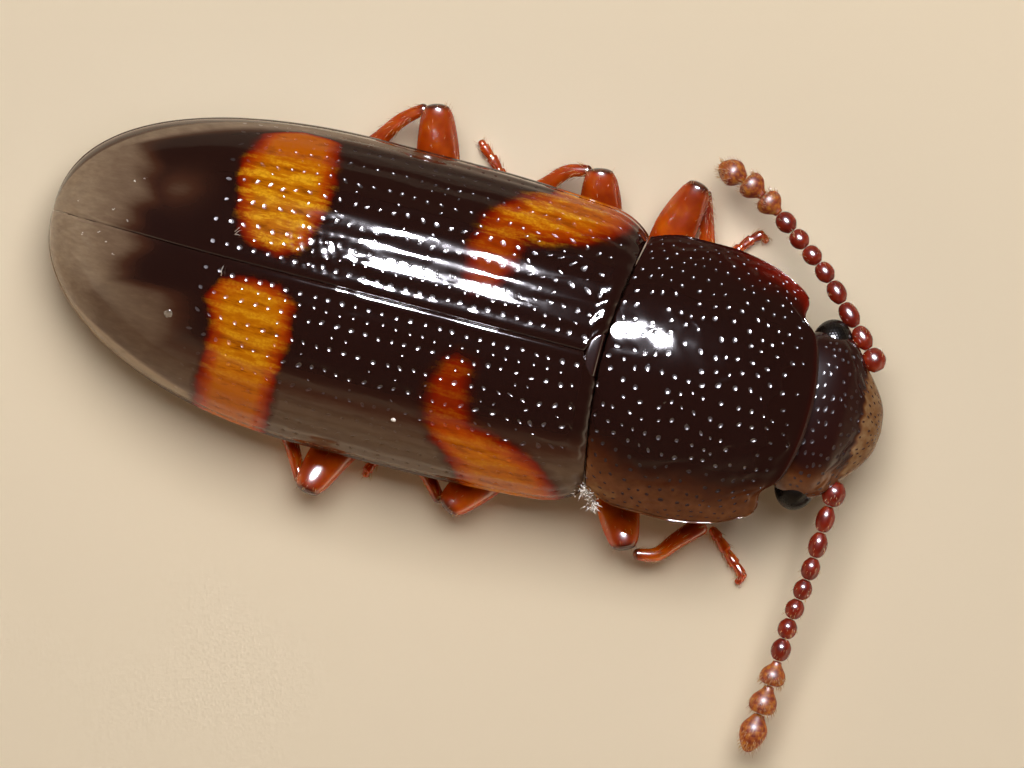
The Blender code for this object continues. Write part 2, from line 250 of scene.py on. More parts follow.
farness = add("Math", {"operation": "ABSOLUTE"}, {0: heading.outputs["X"]})
ends = add("MapRange", {"From Min": 0.35, "From Max": 0.95, "To Min": 1.0, "To Max": 1.6}, {0: farness})
brightness = add("Math", {"operation": "MULTIPLY"}, {0: lampSide, 1: ends})
glowAround = world.node_tree.nodes["Background"]
world.node_tree.links.new(height.outputs["Color"], glowAround.inputs["Color"])
world.node_tree.links.new(brightness.outputs[0], glowAround.inputs["Strength"])

floorMaterial, add = newMaterial("paleMattCard")  # matt card: no shine at all
floorShade = add("BsdfDiffuse", {"Color": linear("#ecdec6"), "Roughness": 0.5})
add("OutputMaterial", None, {"Surface": floorShade.outputs["BSDF"]})
floor = startPiece("floor", bpy.ops.mesh.primitive_plane_add, size=0.6, location=(0, 0, -0.000002))
floor.data.materials.append(floorMaterial)
print("stage: camera, light and floor ready")


def marksOf(add, *names):
    return {name: add("Attribute", {"attribute_name": name}).outputs["Fac"] for name in names}


def addShader(add, links, settings=None):
    # polished chitin, unless the settings say otherwise
    values = {"Roughness": 0.1, "IOR": 1.56, **(settings or {})}
    shader = add("BsdfPrincipled", values, links)
    add("OutputMaterial", None, {"Surface": shader})


def shineOf(add, marks, polish):
    # punctures and worn parts are duller, and the flanks mirror less
    roughness = add("MapRange", {"To Min": polish, "To Max": 0.34}, {0: marks["dull"]})
    mirror = add("MapRange", {"To Min": 0.5, "To Max": 0.1}, {0: marks["flank"]})
    return {"Roughness": roughness, "Specular IOR Level": mirror}


# hardened wing cuticle: brown-black and polished, with a painted reflection in brown and grey-tan towards
# the tip and the sides;
# the bands lack the dark pigment, so they glow amber, ragged at the rim and streaked with gold inside; the
# gold is partly painted glints on the ridges, and the rows of punctures are painted darker as shade
bandedCuticle, add = newMaterial("bandedCuticle")
marks = marksOf(add, "bandDepth", "glow", "gold", "strial", "dull", "film", "flank")
place = add("TexCoord").outputs["Object"]
cloud = add("TexNoise", {"Scale": 9000.0, "Detail": 4.0}, {"Vector": place})  # 0.11 mm
ragged = add("Math", {"operation": "MULTIPLY_ADD", 1: 0.08, 2: -0.04}, {0: cloud})
inside = add("Math", {"operation": "ADD"}, {0: marks["bandDepth"], 1: ragged})
softRim = add("MapRange", {"From Min": -0.035, "From Max": 0.12}, {0: inside})
inBand = add("Math", {"operation": "MULTIPLY"}, {0: softRim, 1: marks["glow"]})
amber = add("ValToRGB", {"stops": [
    (0.0, "#26130f"), (0.16, "#3c0a04"), (0.34, "#7c1a02"), (0.62, "#a94204"), (1.0, "#bb6a06")]},
    {0: inBand})
drawnOut = add("Mapping", {"Scale": (7000.0, 32000.0, 14000.0)}, {"Vector": place})
streaks = add("TexNoise", {"Scale": 1.0, "Detail": 5.0, "Roughness": 0.62},
              {"Vector": drawnOut})  # 0.14 mm long, 0.03 mm wide
phase = add("Math", {"operation": "MULTIPLY_ADD", 1: math.pi, 2: -1.5 * math.pi}, {0: marks["strial"]})
wave = add("Math", {"operation": "COSINE"}, {0: phase})
lift = add("Math", {"operation": "MULTIPLY_ADD", 1: -0.09}, {0: wave, 2: streaks})
grains = add("TexNoise", {"Scale": 52000.0, "Detail": 1.0}, {"Vector": place})  # 0.02 mm
grit = add("MapRange", {"From Min": 0.38, "From Max": 0.60, "To Min": 0.55, "To Max": 1.2}, {0: grains})
grainy = add("Math", {"operation": "MULTIPLY"}, {0: marks["gold"], 1: grit})
central = add("Math", {"operation": "MULTIPLY", "use_clamp": True}, {0: grainy, 1: inBand})
# painted highlight: golden glints on the ridges between the rows of punctures, over a real grain
raised = add("MapRange", {"From Min": 0.48, "From Max": 0.64}, {0: lift})
paintedRidgeGlint = add("Math", {"operation": "MULTIPLY"}, {0: raised, 1: central})
gilded = add("Mix", {"data_type": "RGBA", 7: linear("#e2a51c")}, {0: paintedRidgeGlint, 6: amber})
# painted shade: dark red in the furrows that hold the rows of punctures
sunken = add("MapRange", {"From Min": 0.44, "From Max": 0.30, "To Max": 0.6}, {0: lift})
paintedFurrowShade = add("Math", {"operation": "MULTIPLY"}, {0: sunken, 1: inBand})
lined = add("Mix", {"data_type": "RGBA", 7: linear("#5a1603")}, {0: paintedFurrowShade, 6: gilded.outputs[2]})
# painted reflection: grey-brown to tan colour standing in for the surroundings mirrored at the tip and the
# sides, made patchy by the streak noise
cloudy = add("Math", {"operation": "MULTIPLY_ADD", 1: 0.06, 2: -0.03}, {0: streaks})
patchy = add("MapRange", {"From Min": 0.3, "From Max": 0.7, "To Min": 0.93, "To Max": 1.07}, {0: streaks})
film = add("Math", {"operation": "MULTIPLY_ADD", "use_clamp": True},
           {0: marks["film"], 1: patchy, 2: cloudy})
paintedReflectionTint = add("ValToRGB", {"stops": [
    (0.0, "#26130f"), (0.33, "#42261a"), (0.6, "#5e4838"), (0.8, "#75604e"), (1.0, "#947f68")]}, {0: film})
outOfBand = add("MapRange", {"From Max": 0.3, "To Min": 1.0, "To Max": 0.0}, {0: inBand})
withPaintedReflection = add("Mix", {"data_type": "RGBA"}, {0: outOfBand, 6: lined.outputs[2], 7: paintedReflectionTint})
addShader(add, {"Base Color": withPaintedReflection.outputs[2], **shineOf(add, marks, 0.055)})

# the same cuticle without bands: brown-black, dark red where it is thin at the edges, brown to tan where a
# reflection is painted in
blackCuticle, add = newMaterial("blackCuticle")
marks = marksOf(add, "thin", "dull", "film", "flank", "pitted")
place = add("TexCoord").outputs["Object"]
thinTint = add("ValToRGB", {"stops": [
    (0.0, "#26130f"), (0.45, "#3a0d07"), (1.0, "#701408")]}, {0: marks["thin"]})
cloud = add("TexNoise", {"Scale": 14000.0, "Detail": 4.0}, {"Vector": place})  # 0.07 mm
patchy = add("MapRange", {"From Min": 0.3, "From Max": 0.7, "To Min": 0.8, "To Max": 1.15}, {0: cloud})
# painted reflection, patchy, and kept out of the punctures so that they stay dark
patchyReflection = add("Math", {"operation": "MULTIPLY"}, {0: marks["film"], 1: patchy})
hollow = add("Math", {"operation": "MULTIPLY_ADD", 1: -0.75, 2: 1.0}, {0: marks["pitted"]})
shown = add("Math", {"operation": "MULTIPLY", "use_clamp": True}, {0: patchyReflection, 1: hollow})
paintedReflectionTint = add("ValToRGB", {"stops": [
    (0.0, "#26130f"), (0.33, "#46210f"), (0.6, "#653a1e"), (0.8, "#775230"), (1.0, "#8e7150")]}, {0: shown})
reflectionShare = add("MapRange", {"From Max": 0.25}, {0: shown})
withPaintedReflection = add("Mix", {"data_type": "RGBA"}, {0: reflectionShare, 6: thinTint, 7: paintedReflectionTint})
addShader(add, {"Base Color": withPaintedReflection.outputs[2], **shineOf(add, marks, 0.06)})


def mottled(name, stops, scale, settings, jointTint=None):
    # a noise of the given fineness runs through the colour stops, and joints may be darker
    material, add = newMaterial(name)
    place = add("TexCoord").outputs["Object"]
    cloud = add("TexNoise", {"Scale": scale, "Detail": 3.0}, {"Vector": place})
    colour = add("ValToRGB", {"stops": stops}, {0: cloud})
    if jointTint:
        joint = marksOf(add, "joint")["joint"]
        colour = add("Mix", {"data_type": "RGBA", 7: linear(jointTint)}, {0: joint, 6: colour}).outputs[2]
    addShader(add, {"Base Color": colour}, settings)
    return material


# thin-walled cuticle of legs and feelers: light passes through, so it glows red-orange, blotched each 0.2 mm
glowing = {"Subsurface Radius": (1.0, 0.28, 0.08), "Subsurface Scale": 0.00012, "Subsurface Weight": 0.4}
legCuticle = mottled("legCuticle", [(0.3, "#8c2800"), (0.55, "#b04400"), (0.75, "#cc6200")], 5000.0,
                     {**glowing, "Roughness": 0.16, "Subsurface Weight": 0.6}, jointTint="#220a05")
feelerCuticle = mottled("feelerCuticle", [(0.3, "#601002"), (0.6, "#842004"), (0.8, "#9c3a08")], 9000.0,
                        {**glowing, "Roughness": 0.22, "Specular IOR Level": 0.3})
# the club is dull with fine golden down, so it is freckled each 0.03 mm
clubCuticle = mottled("clubCuticle", [(0.35, "#782602"), (0.5, "#9c4a05"), (0.65, "#bc720a")], 30000.0,
                      {**glowing, "Roughness": 0.45, "Specular IOR Level": 0.12})
mouthCuticle = mottled("mouthCuticle", [(0.3, "#4a1206"), (0.7, "#7d2c0a")], 5000.0,
                       {**glowing, "Roughness": 0.2})
# many small clear lenses over black pigment
eyeCuticle = mottled("eyeLensCuticle", [(0.3, "#0e0a07"), (0.7, "#1c140c")], 12000.0,
                     {"Roughness": 0.24, "Specular IOR Level": 0.10})
# fine translucent hairs, pale gold against the light
hairMaterial = mottled("goldenHair", [(0.3, "#a8742a"), (0.7, "#d6a856")], 8000.0,
                       {"Roughness": 0.35, "Subsurface Weight": 0.3, "Subsurface Scale": 0.00002})
# loose fluff caught at the shoulder, dull and white; the same white makes the painted sparkles near the wing
# tip
lintAndSparkleMaterial = mottled("paleLintAndSparkle", [(0.3, "#c9bba6"), (0.7, "#efe6d8")], 30000.0, {"Roughness": 0.7})
# a drop on the wing case, glossy and painted grey for the light seen in it: a painted reflection
dropReflectionMaterial = mottled("dropPaintedReflection", [(0.3, "#55483c"), (0.7, "#93877a")], 60000.0, {"Roughness": 0.08})
print("stage: materials ready")


def pittedGrid(name, rows, columns, passes):
    # flat grid, one face per place a puncture may take; each pass insets the faces it picks and sinks them
    piece = startPiece(name, bpy.ops.mesh.primitive_grid_add, x_subdivisions=rows, y_subdivisions=columns,
                       size=1)
    bpy.ops.object.mode_set(mode="EDIT")
    bpy.ops.transform.resize(value=(rows, columns, 1))
    bpy.ops.transform.translate(value=(rows / 2, columns / 2, 0))
    bpy.ops.mesh.select_mode(type="FACE")
    for picks, insets in passes:
        bpy.ops.mesh.select_all(action="DESELECT")
        bpy.ops.object.mode_set(mode="OBJECT")
        for face in piece.data.polygons:
            face.select = face.area > 0.9 and picks(int(face.center.x), int(face.center.y))
        bpy.ops.object.mode_set(mode="EDIT")
        for thickness, depth in insets:
            bpy.ops.mesh.inset(thickness=thickness, depth=depth, use_individual=True)
    bpy.ops.object.mode_set(mode="OBJECT")
    smooth = piece.modifiers.new("smooth", "SUBSURF")
    smooth.levels = smooth.render_levels = 2
    smooth.boundary_smooth = "PRESERVE_CORNERS"
    bpy.ops.object.modifier_apply(modifier=smooth.name)
    return piece


def sinkPits(p, q, picks, cell, radius, depth, jitter):
    # round bowls of the given size in millimetres, no two alike, each shifted a little within its cell
    row, column = np.floor(p).astype(int), np.floor(q).astype(int)
    across, along = p - row - 0.5, q - column - 0.5
    table = {}
    for r, c in set(zip(row.tolist(), column.tolist())):
        shifts = dice.uniform(-jitter, jitter), dice.uniform(-jitter, jitter)
        table[r, c] = (picks(r, c), *shifts, dice.uniform(0.8, 1.15))
    held = np.array([table[key] for key in zip(row.tolist(), column.tolist())], dtype=float)
    calm = ease(1.0, 0.3, 2 * np.maximum(np.abs(across), np.abs(along))) * held[:, 0]
    reach = np.hypot(across * cell[0], along * cell[1]) / (radius * held[:, 3])
    sunk = held[:, 0] * np.clip(1 - reach ** 2, 0, 1) ** 1.5
    return p + calm * held[:, 1], q + calm * held[:, 2], sunk * depth * held[:, 3], sunk > 0


def settle(piece, surface, p, q, lift):
    # lays the flat grid on a surface and moves each point along the surface's normal
    step = 0.03
    ahead = surface(p + step, q) - surface(p - step, q)
    across = surface(p, q + step) - surface(p, q - step)
    normal = np.cross(ahead, across)
    size = np.linalg.norm(normal, axis=1, keepdims=True)
    normal = normal / np.maximum(size, 1e-9) * (size > 1e-9)
    points = surface(p, q) + normal * lift[:, None]
    first, last = (np.flatnonzero(np.abs(q - end) < 1e-4) for end in (q.min(), q.max()))
    points[last[np.argsort(p[last])]] = points[first[np.argsort(p[first])]]  # the ring's two edges meet
    setPoints(piece, points * mm)


def closeRing(piece, thinWalled=False):
    # welds the seam, caps the open ends and turns the normals outward
    setPoints(piece, getPoints(piece) / mm)  # a weld in metres is too coarse for so small a body
    pick(piece)
    bpy.ops.object.mode_set(mode="EDIT")
    bpy.ops.mesh.select_mode(type="VERT")
    bpy.ops.mesh.select_all(action="SELECT")
    bpy.ops.mesh.remove_doubles(threshold=1e-5)
    bpy.ops.mesh.select_all(action="DESELECT")
    bpy.ops.mesh.select_non_manifold(extend=False)
    bpy.ops.mesh.mark_sharp()
    if thinWalled:
        bpy.ops.mesh.fill_holes(sides=0)
    else:
        bpy.ops.mesh.extrude_region_move()
        bpy.ops.mesh.merge(type="COLLAPSE")
    bpy.ops.object.mode_set(mode="OBJECT")
    turnOutward(piece)
    setPoints(piece, getPoints(piece) * mm)


def depthInside(x, y, outline):
    # distance to an outline, positive inside it
    nearest = np.full(x.shape, 1e9)
    inside = np.zeros(x.shape, dtype=bool)
    for (ax, ay), (bx, by) in zip(outline, outline[1:] + outline[:1]):
        ex, ey = bx - ax, by - ay
        t = np.clip(((x - ax) * ex + (y - ay) * ey) / (ex * ex + ey * ey), 0, 1)
        nearest = np.minimum(nearest, np.hypot(x - ax - t * ex, y - ay - t * ey))
        if ay != by:
            inside ^= ((ay > y) != (by > y)) & (x < ex * (y - ay) / (by - ay) + ax)
    return np.where(inside, nearest, -nearest)


wing = {"apexX": -2.900, "baseX": 0.735, "sweep": 0.11, "sweepLength": 0.8, "halfWidth": 1.005,
        "taper": 2.0, "crownX": -0.45, "crownZ": 1.266, "apexZ": 0.36, "power": 2.15, "wall": 0.055,
        "straightRows": 32, "rowStep": 0.09, "tipRows": 9, "columns": 19, "foldColumns": 9,
        "pitRadius": 0.0142, "pitDepth": 0.0058, "furrow": 0.0048, "notchLength": 0.105,
        "notchWidth": 0.150, "tipBend": 0.045, "sutureGap": 0.0015}
# outlines of the two amber marks, forward distance and distance from the suture
wingMarks = {1: [[(-1.76, 0.42), (-1.69, 0.20), (-1.58, 0.12), (-1.41, 0.095), (-1.29, 0.13), (-1.23, 0.22),
                  (-1.17, 0.45), (-1.17, 0.72), (-1.20, 0.95), (-1.25, 1.3), (-1.70, 1.3), (-1.71, 0.86),
                  (-1.79, 0.62)],
                 [(-0.17, 0.14), (-0.26, 0.22), (-0.29, 0.45), (-0.25, 0.66), (-0.14, 0.79), (0.02, 0.90),
                  (0.16, 0.97), (0.24, 1.3), (0.90, 1.3), (0.80, 0.84), (0.66, 0.73), (0.48, 0.665),
                  (0.32, 0.61), (0.12, 0.54), (0.10, 0.40), (0.02, 0.20)]],
             -1: [[(-1.79, 0.25), (-1.72, 0.13), (-1.52, 0.075), (-1.34, 0.085), (-1.22, 0.17),
                   (-1.19, 0.40), (-1.22, 0.62), (-1.20, 0.80), (-1.24, 1.3), (-1.68, 1.3), (-1.72, 0.80),
                   (-1.70, 0.50)],
                  [(-0.15, 0.17), (-0.27, 0.24), (-0.33, 0.45), (-0.31, 0.64), (-0.19, 0.78), (-0.03, 0.90),
                   (0.06, 1.0), (0.10, 1.3), (0.80, 1.3), (0.80, 0.93), (0.62, 0.80), (0.45, 0.72),
                   (0.25, 0.66), (0.08, 0.58), (0.04, 0.45), (0.0, 0.22)]]}
# length along the arched section, so that the rows of punctures stand evenly apart
domeAngles = np.linspace(0, math.pi / 2, 200)
domeHeights = 0.79 * dome(wing["power"], np.sin(domeAngles))
domeArc = np.concatenate(([0], np.cumsum(np.hypot(np.diff(np.sin(domeAngles)), np.diff(domeHeights)))))
domeArc = domeArc / domeArc[-1]


def wingWidth(x, fullness=2.1):
    # round at the tip, a little narrower towards the base and cut in at the shoulder
    rear = wing["halfWidth"] * dome(fullness, 1 - np.clip((x - wing["apexX"]) / wing["taper"], 0, 1))
    return rear - 0.045 * np.clip(x + 0.4, 0, None) ** 2 - 0.115 * np.clip((x - 0.5) / 0.36, 0, 1.2) ** 3


def wingTop(x):
    # highest at the crown, falling to the tip and a little to the base
    back = np.clip((wing["crownX"] - x) / (wing["crownX"] - wing["apexX"]), 0, 1)
    rear = wing["apexZ"] + (wing["crownZ"] - wing["apexZ"]) * np.sqrt(1 - back ** 2.2)
    return rear - 0.071 * np.clip(x - wing["crownX"], 0, None) ** 2


def wingMarginZ(x):
    return 0.34 + 0.16 * (np.clip(x - wing["apexX"], 0, None) / 3.8) ** 0.7


def wingSurface(side, p, q):
    # p counts rows from the base to the tip, q columns from the suture over the margin and back inside
    straight, columns = wing["straightRows"], wing["columns"]
    straightEnd = wing["baseX"] - straight * wing["rowStep"]
    turn = np.clip((p - straight) / wing["tipRows"], 0, 1) * math.pi / 2
    x = np.where(p <= straight, wing["baseX"] - np.maximum(p, 0) * wing["rowStep"],
                 straightEnd - (straightEnd - wing["apexX"] - 0.004) * np.sin(turn))
    sweep = wing["sweep"] * np.clip(1 - (wing["baseX"] - x) / wing["sweepLength"], 0, 1)
    halfWidth = np.maximum(wingWidth(x + sweep, 2.25 if side > 0 else 2.1), 0.004)
    small = np.clip(halfWidth / 0.35, 0, 1)
    marginZ, topZ = wingMarginZ(x), wingTop(x)
    arc = np.where(q < 1, 0.75 * q, q - 0.25) / (columns - 0.25)
    share = np.sin(np.interp(np.clip(arc, 0, 1), domeArc, domeAngles))
    inset = wing["wall"] * small
    # the edge turned in, then the underside of the wing case back to the suture
    rim = ((0, 0), (-0.004, -0.022), (-0.032, -0.036), (-0.11, -0.02), (-0.12, 0.02))
    fold = [(halfWidth + y * small, marginZ + z * small) for y, z in rim]
    for angle in (1.1, 0.6, 0.2):
        fold.append(((halfWidth - inset) * math.sin(angle),
                     marginZ + (topZ - inset - marginZ) * dome(wing["power"], math.sin(angle))))
    fold.append((wing["sutureGap"] + 0 * x, topZ - inset))
    fold.append((wing["sutureGap"] + 0 * x, topZ))
    past = np.clip(q - columns, 0, wing["foldColumns"])
    i = np.clip(past.astype(int), 0, wing["foldColumns"] - 1)
    f = past - i
    rank = np.arange(len(x))
    foldY, foldZ = (np.array(values) for values in zip(*fold))
    inFold = q > columns
    y = np.where(inFold, foldY[i, rank] * (1 - f) + foldY[i + 1, rank] * f, share * halfWidth)
    z = np.where(inFold, foldZ[i, rank] * (1 - f) + foldZ[i + 1, rank] * f,
                 marginZ + (topZ - marginZ) * dome(wing["power"], share))
    y = np.maximum(y, wing["sutureGap"])
    z = z - 0.011 * np.exp(-(y - wing["sutureGap"]) / 0.012)  # the edge rolls in at the suture
    z = z - 0.03 * np.exp(-np.maximum(p, 0) / 0.2) * ~inFold  # the front edge rolls down
    notch = wing["notchWidth"] * np.sqrt(np.clip((x - wing["baseX"]) / wing["notchLength"] + 1, 0, 1))
    y = notch + y * (1 - notch / np.maximum(halfWidth, 0.2))  # room for the scutellum
    bend = wing["tipBend"] * (np.clip(-1.5 - x, 0, None) / 1.4) ** 2  # the hind end turns slightly left
    return np.stack([x + sweep * (y / halfWidth) ** 2, side * y + bend, z], axis=1)


def wingCase(side, name, node):
    rows, columns = wing["straightRows"] + wing["tipRows"], wing["columns"]

    def strialPit(r, c):
        return c % 2 == 1 and c < columns - 1 and 0 < r < rows - 12

    def finePit(r, c):
        crowded = 5 if r < 9 else 3  # more of them towards the base
        inField = c % 2 == 0 and 0 < c < columns - 2 and 1 < r < rows - 15
        return inField and (r * 7 + c * 5 + r * c) % 9 < crowded

    piece = pittedGrid(name, rows, columns + wing["foldColumns"],
                       [(strialPit, ((0.25, 0.0), (0.13, 0.0))), (finePit, ((0.33, 0.0), (0.07, 0.0)))])
    p, q, _ = getPoints(piece).T
    outer = q <= columns
    cell = (wing["rowStep"], 0.075)
    radius, deep = wing["pitRadius"], wing["pitDepth"]
    p1, q1, coarse, inCoarse = sinkPits(p, q, strialPit, cell, radius, deep, 0.08)
    p2, q2, fine, inFine = sinkPits(p, q, finePit, cell, radius * 0.62, deep * 0.6, 0.12)
    fade = ease(rows - 12.0, rows - 16.5, p) * ease(columns, columns - 3.0, q)
    sunk = (coarse + fine) * np.where(outer, 0.05 + 0.95 * fade, 0)
    shift = np.where(outer & (p < rows - 0.01), np.sin(q * math.pi / columns), 0) * ease(0.3, 2.5, p)
    loose = 1 + 1.1 * ease(9, 2, p)  # the rows of punctures grow confused towards the base
    wander = 0.12 * np.sin(1.9 * q + 0.7 * side) + 0.13 * np.sin(0.9 * p + 4.1 * q)
    pWarped = p1 + p2 - p + shift * wander * loose
    qWarped = q1 + q2 - q + shift * 0.10 * loose * np.sin(1.1 * p + 2.9 * q) * ease(0.5, 1.5, q)
    pWarped = np.clip(np.where((p > 0.01) & (p < rows - 0.01), pWarped, p), 0, rows)
    free = outer & (q > 0.01) & (q < columns - 0.01)
    qWarped = np.where(free, np.clip(qWarped, 0.005, columns - 0.005), q)
    lift = -sunk - wing["furrow"] * (0.5 + 0.5 * np.cos(math.pi * (q - 1.5))) * fade * ease(0.6, 1.4, q)
    swell = ripple(p, q)
    lift = lift + swell * np.where(outer, 0.00009 + 0.0006 * bump(p, 19.5, 3.0) * ease(5.5, 2.5, q), 0)
    lift = lift + swell * 0.0030 * bump(p, rows - 4.6, 1.2) * bump(q, 2.0, 3.2)  # wrinkles near the tip
    if side > 0:  # finely leathery patch before the hind mark
        leather = np.sin(6.1 * p + 2.9 * q) * np.sin(5.3 * q - 2.3 * p)
        lift = lift + 0.0016 * leather * bump(p, 21.8, 2.6) * ease(7, 4, q) * outer
    lift = lift + 0.008 * bump(q, columns - 0.2, 0.24) - 0.008 * bump(q, columns - 0.85, 0.3)
    tip = np.clip((rows - p) / 3, 0, 1)
    lift = np.where(outer, lift * tip, 0)
    settle(piece, lambda a, b: wingSurface(side, a, b), pWarped, qWarped, -side * lift)
    points = getPoints(piece) / mm
    x, y = points[:, 0], np.abs(points[:, 1])
    depth = np.maximum(*[depthInside(x, y, line) for line in wingMarks[side]])
    arm = ease(0.35, 0.1, x) * ease(-0.6, -0.4, x)  # inner arm of the front mark
    glow = 1 - (0.50, 0.62)[side < 0] * arm * ease(0.78, 0.60, y)
    glow = glow - 0.35 * ease(0.45, 0.75, x) - (0.20, 0.12)[side < 0] * ease(0.62, 0.72, y)
    # where the golden grain and its painted glints show, stronger on the left side, towards the lamp
    gold = (1.0, 0.5)[side < 0] * ease(0.80, 0.62, y) * ease(-0.9, -1.1, x)
    gold = gold + (0.8 * ease(0.4, 0.62, y), 0.25)[side < 0] * ease(-0.9, -0.6, x) * ease(0.70, 0.3, x)
    share = y / np.maximum(wingWidth(x), 0.05)
    wave = 0.06 * np.sin(9 * y + 2 * side) + 0.03 * np.sin(31 * y + 7 * x)
    rear = ease(-2.20, -2.50, x + wave)
    rimStart, rimFull = (0.5, -1.4) if side > 0 else (-1.2, -1.9)
    rim = ease(0.90, 0.965, share + 0.05 * ease(-1.6, -2.5, x)) * ease(rimStart, rimFull, x)
    # the reflection painted into the colour: grey-brown towards the tip and a light band along the margin,
    # taken back in a thin darker line at the very edge
    film = 0.77 * rear + 0.15 * ease(-2.45, -2.85, x)
    if side < 0:  # the side away from the lamp gets a painted brown reflection
        film = np.maximum(film, 0.60 * ease(0.50, 0.86, share))
        film = np.maximum(film, 0.60 * ease(-1.75, -2.1, x) * ease(0.28, 0.52, share + wave))
    else:
        film = np.maximum(film, 0.45 * bump(x, -2.12, 0.15) * bump(y, 0.36 + 0.2 * (x + 2.12), 0.11))
    film = np.maximum(film, (0.84, 1.0)[side < 0] * rim) * (1 - 0.55 * ease(0.984, 0.998, share))
    depth = depth - 0.3 * (rim if side > 0 else 0)
    flank = np.maximum.reduce([ease(0.48, 0.72, share), 0.3 * rear, ease(1.4, 0.6, p)])
    dull = np.where(outer, np.maximum(inCoarse | inFine, 0.25 * ease(-1.7, -2.5, x)), 0.3)
    addAttributes(piece, bandDepth=np.where(q <= columns + 3, depth, -1), film=film, flank=flank, dull=dull,
                  strial=q, glow=glow, gold=gold)
    closeRing(piece, thinWalled=True)
    return finishPiece(piece, bandedCuticle, [node])


wingCase(1, "wingCaseLeft", "elytron_left")
wingCase(-1, "wingCaseRight", "elytron_right")
print("stage: wing cases ready")


def ringSection(q, dorsal, ventral, halfWidth, marginZ, topZ, bottomZ, power, lip=0.03, keel=0.8):
    # prothorax, head and trunk are closed rings; q runs over the back from the right margin to the left one,
    # then under the belly
    angle = math.pi * (np.clip(q / dorsal, 0, 1) - 0.5)
    share = np.sin(angle)
    under = math.pi * np.clip((q - dorsal) / ventral, 0, 1)
    isUnder = q > dorsal
    y = halfWidth * np.where(isUnder, np.cos(under), share)
    bottom = marginZ - lip * ease(0, 0.25, np.sin(under)) - (marginZ - lip - bottomZ) * np.sin(under) ** keel
    z = np.where(isUnder, bottom, marginZ + (topZ - marginZ) * dome(power, share))
    return y, z, isUnder


thorax = {"rearX": 0.742, "sweep": 0.11, "frontX": 2.122, "bow": 0.19, "crownX": 1.0, "crownZ": 1.153,
          "arch": 0.20, "rows": 17, "columns": 27, "under": 9, "pitRadius": 0.0128, "pitDepth": 0.0050,
          "endTurn": 0.03, "cornerNotch": 0.060}
# half the width against the share of the length, from the hind edge
thoraxSide = ((0.0, 0.822), (0.1, 0.866), (0.21, 0.890), (0.48, 0.893), (0.6, 0.880), (0.76, 0.842),
              (0.9, 0.778), (0.96, 0.747), (1.0, 0.700))


def thoraxSurface(p, q):
    rows = thorax["rows"]
    v = np.clip((p - 1) / (rows - 2), 0, 1)
    halfWidth = curveAt(thoraxSide, v)
    endIn = np.clip(1 - p, 0, 1) + np.clip(p - rows + 1, 0, 1)  # the end rows turn inward
    share = np.sin(math.pi * (np.clip(q / thorax["columns"], 0, 1) - 0.5))
    under = math.pi * np.clip((q - thorax["columns"]) / thorax["under"], 0, 1)
    share = np.where(q > thorax["columns"], np.cos(under), share)
    rear = thorax["rearX"] + thorax["sweep"] * share ** 2
    front = thorax["frontX"] - thorax["bow"] * np.abs(share) ** 2.2
    x = rear + (front - rear) * v
    x = x + thorax["endTurn"] * (np.clip(1 - p, 0, 1) - np.clip(p - rows + 1, 0, 1))
    notch = thorax["cornerNotch"] * bump(np.abs(share), 0.82, 0.10)  # the front corners stand forward
    x = x - notch * ease(0.75, 1, v)
    topZ = thorax["crownZ"] - thorax["arch"] * (x - thorax["crownX"]) ** 2 - 0.10 * endIn ** 2
    bottomZ = curveAt(((0.0, 0.16), (0.5, 0.145), (1.0, 0.26)), v) + 0.06 * endIn
    halfWidth = halfWidth * (1 - 0.07 * endIn ** 2)
    marginZ = topZ - 0.50 * halfWidth ** 2 - 0.06 * halfWidth ** 6
    y, z, isUnder = ringSection(q, thorax["columns"], thorax["under"], halfWidth, marginZ, topZ, bottomZ,
                                power=2.0, keel=0.55)
    return np.stack([x, y, np.where(isUnder, z, topZ - 0.50 * y ** 2 - 0.06 * y ** 6)], axis=1)


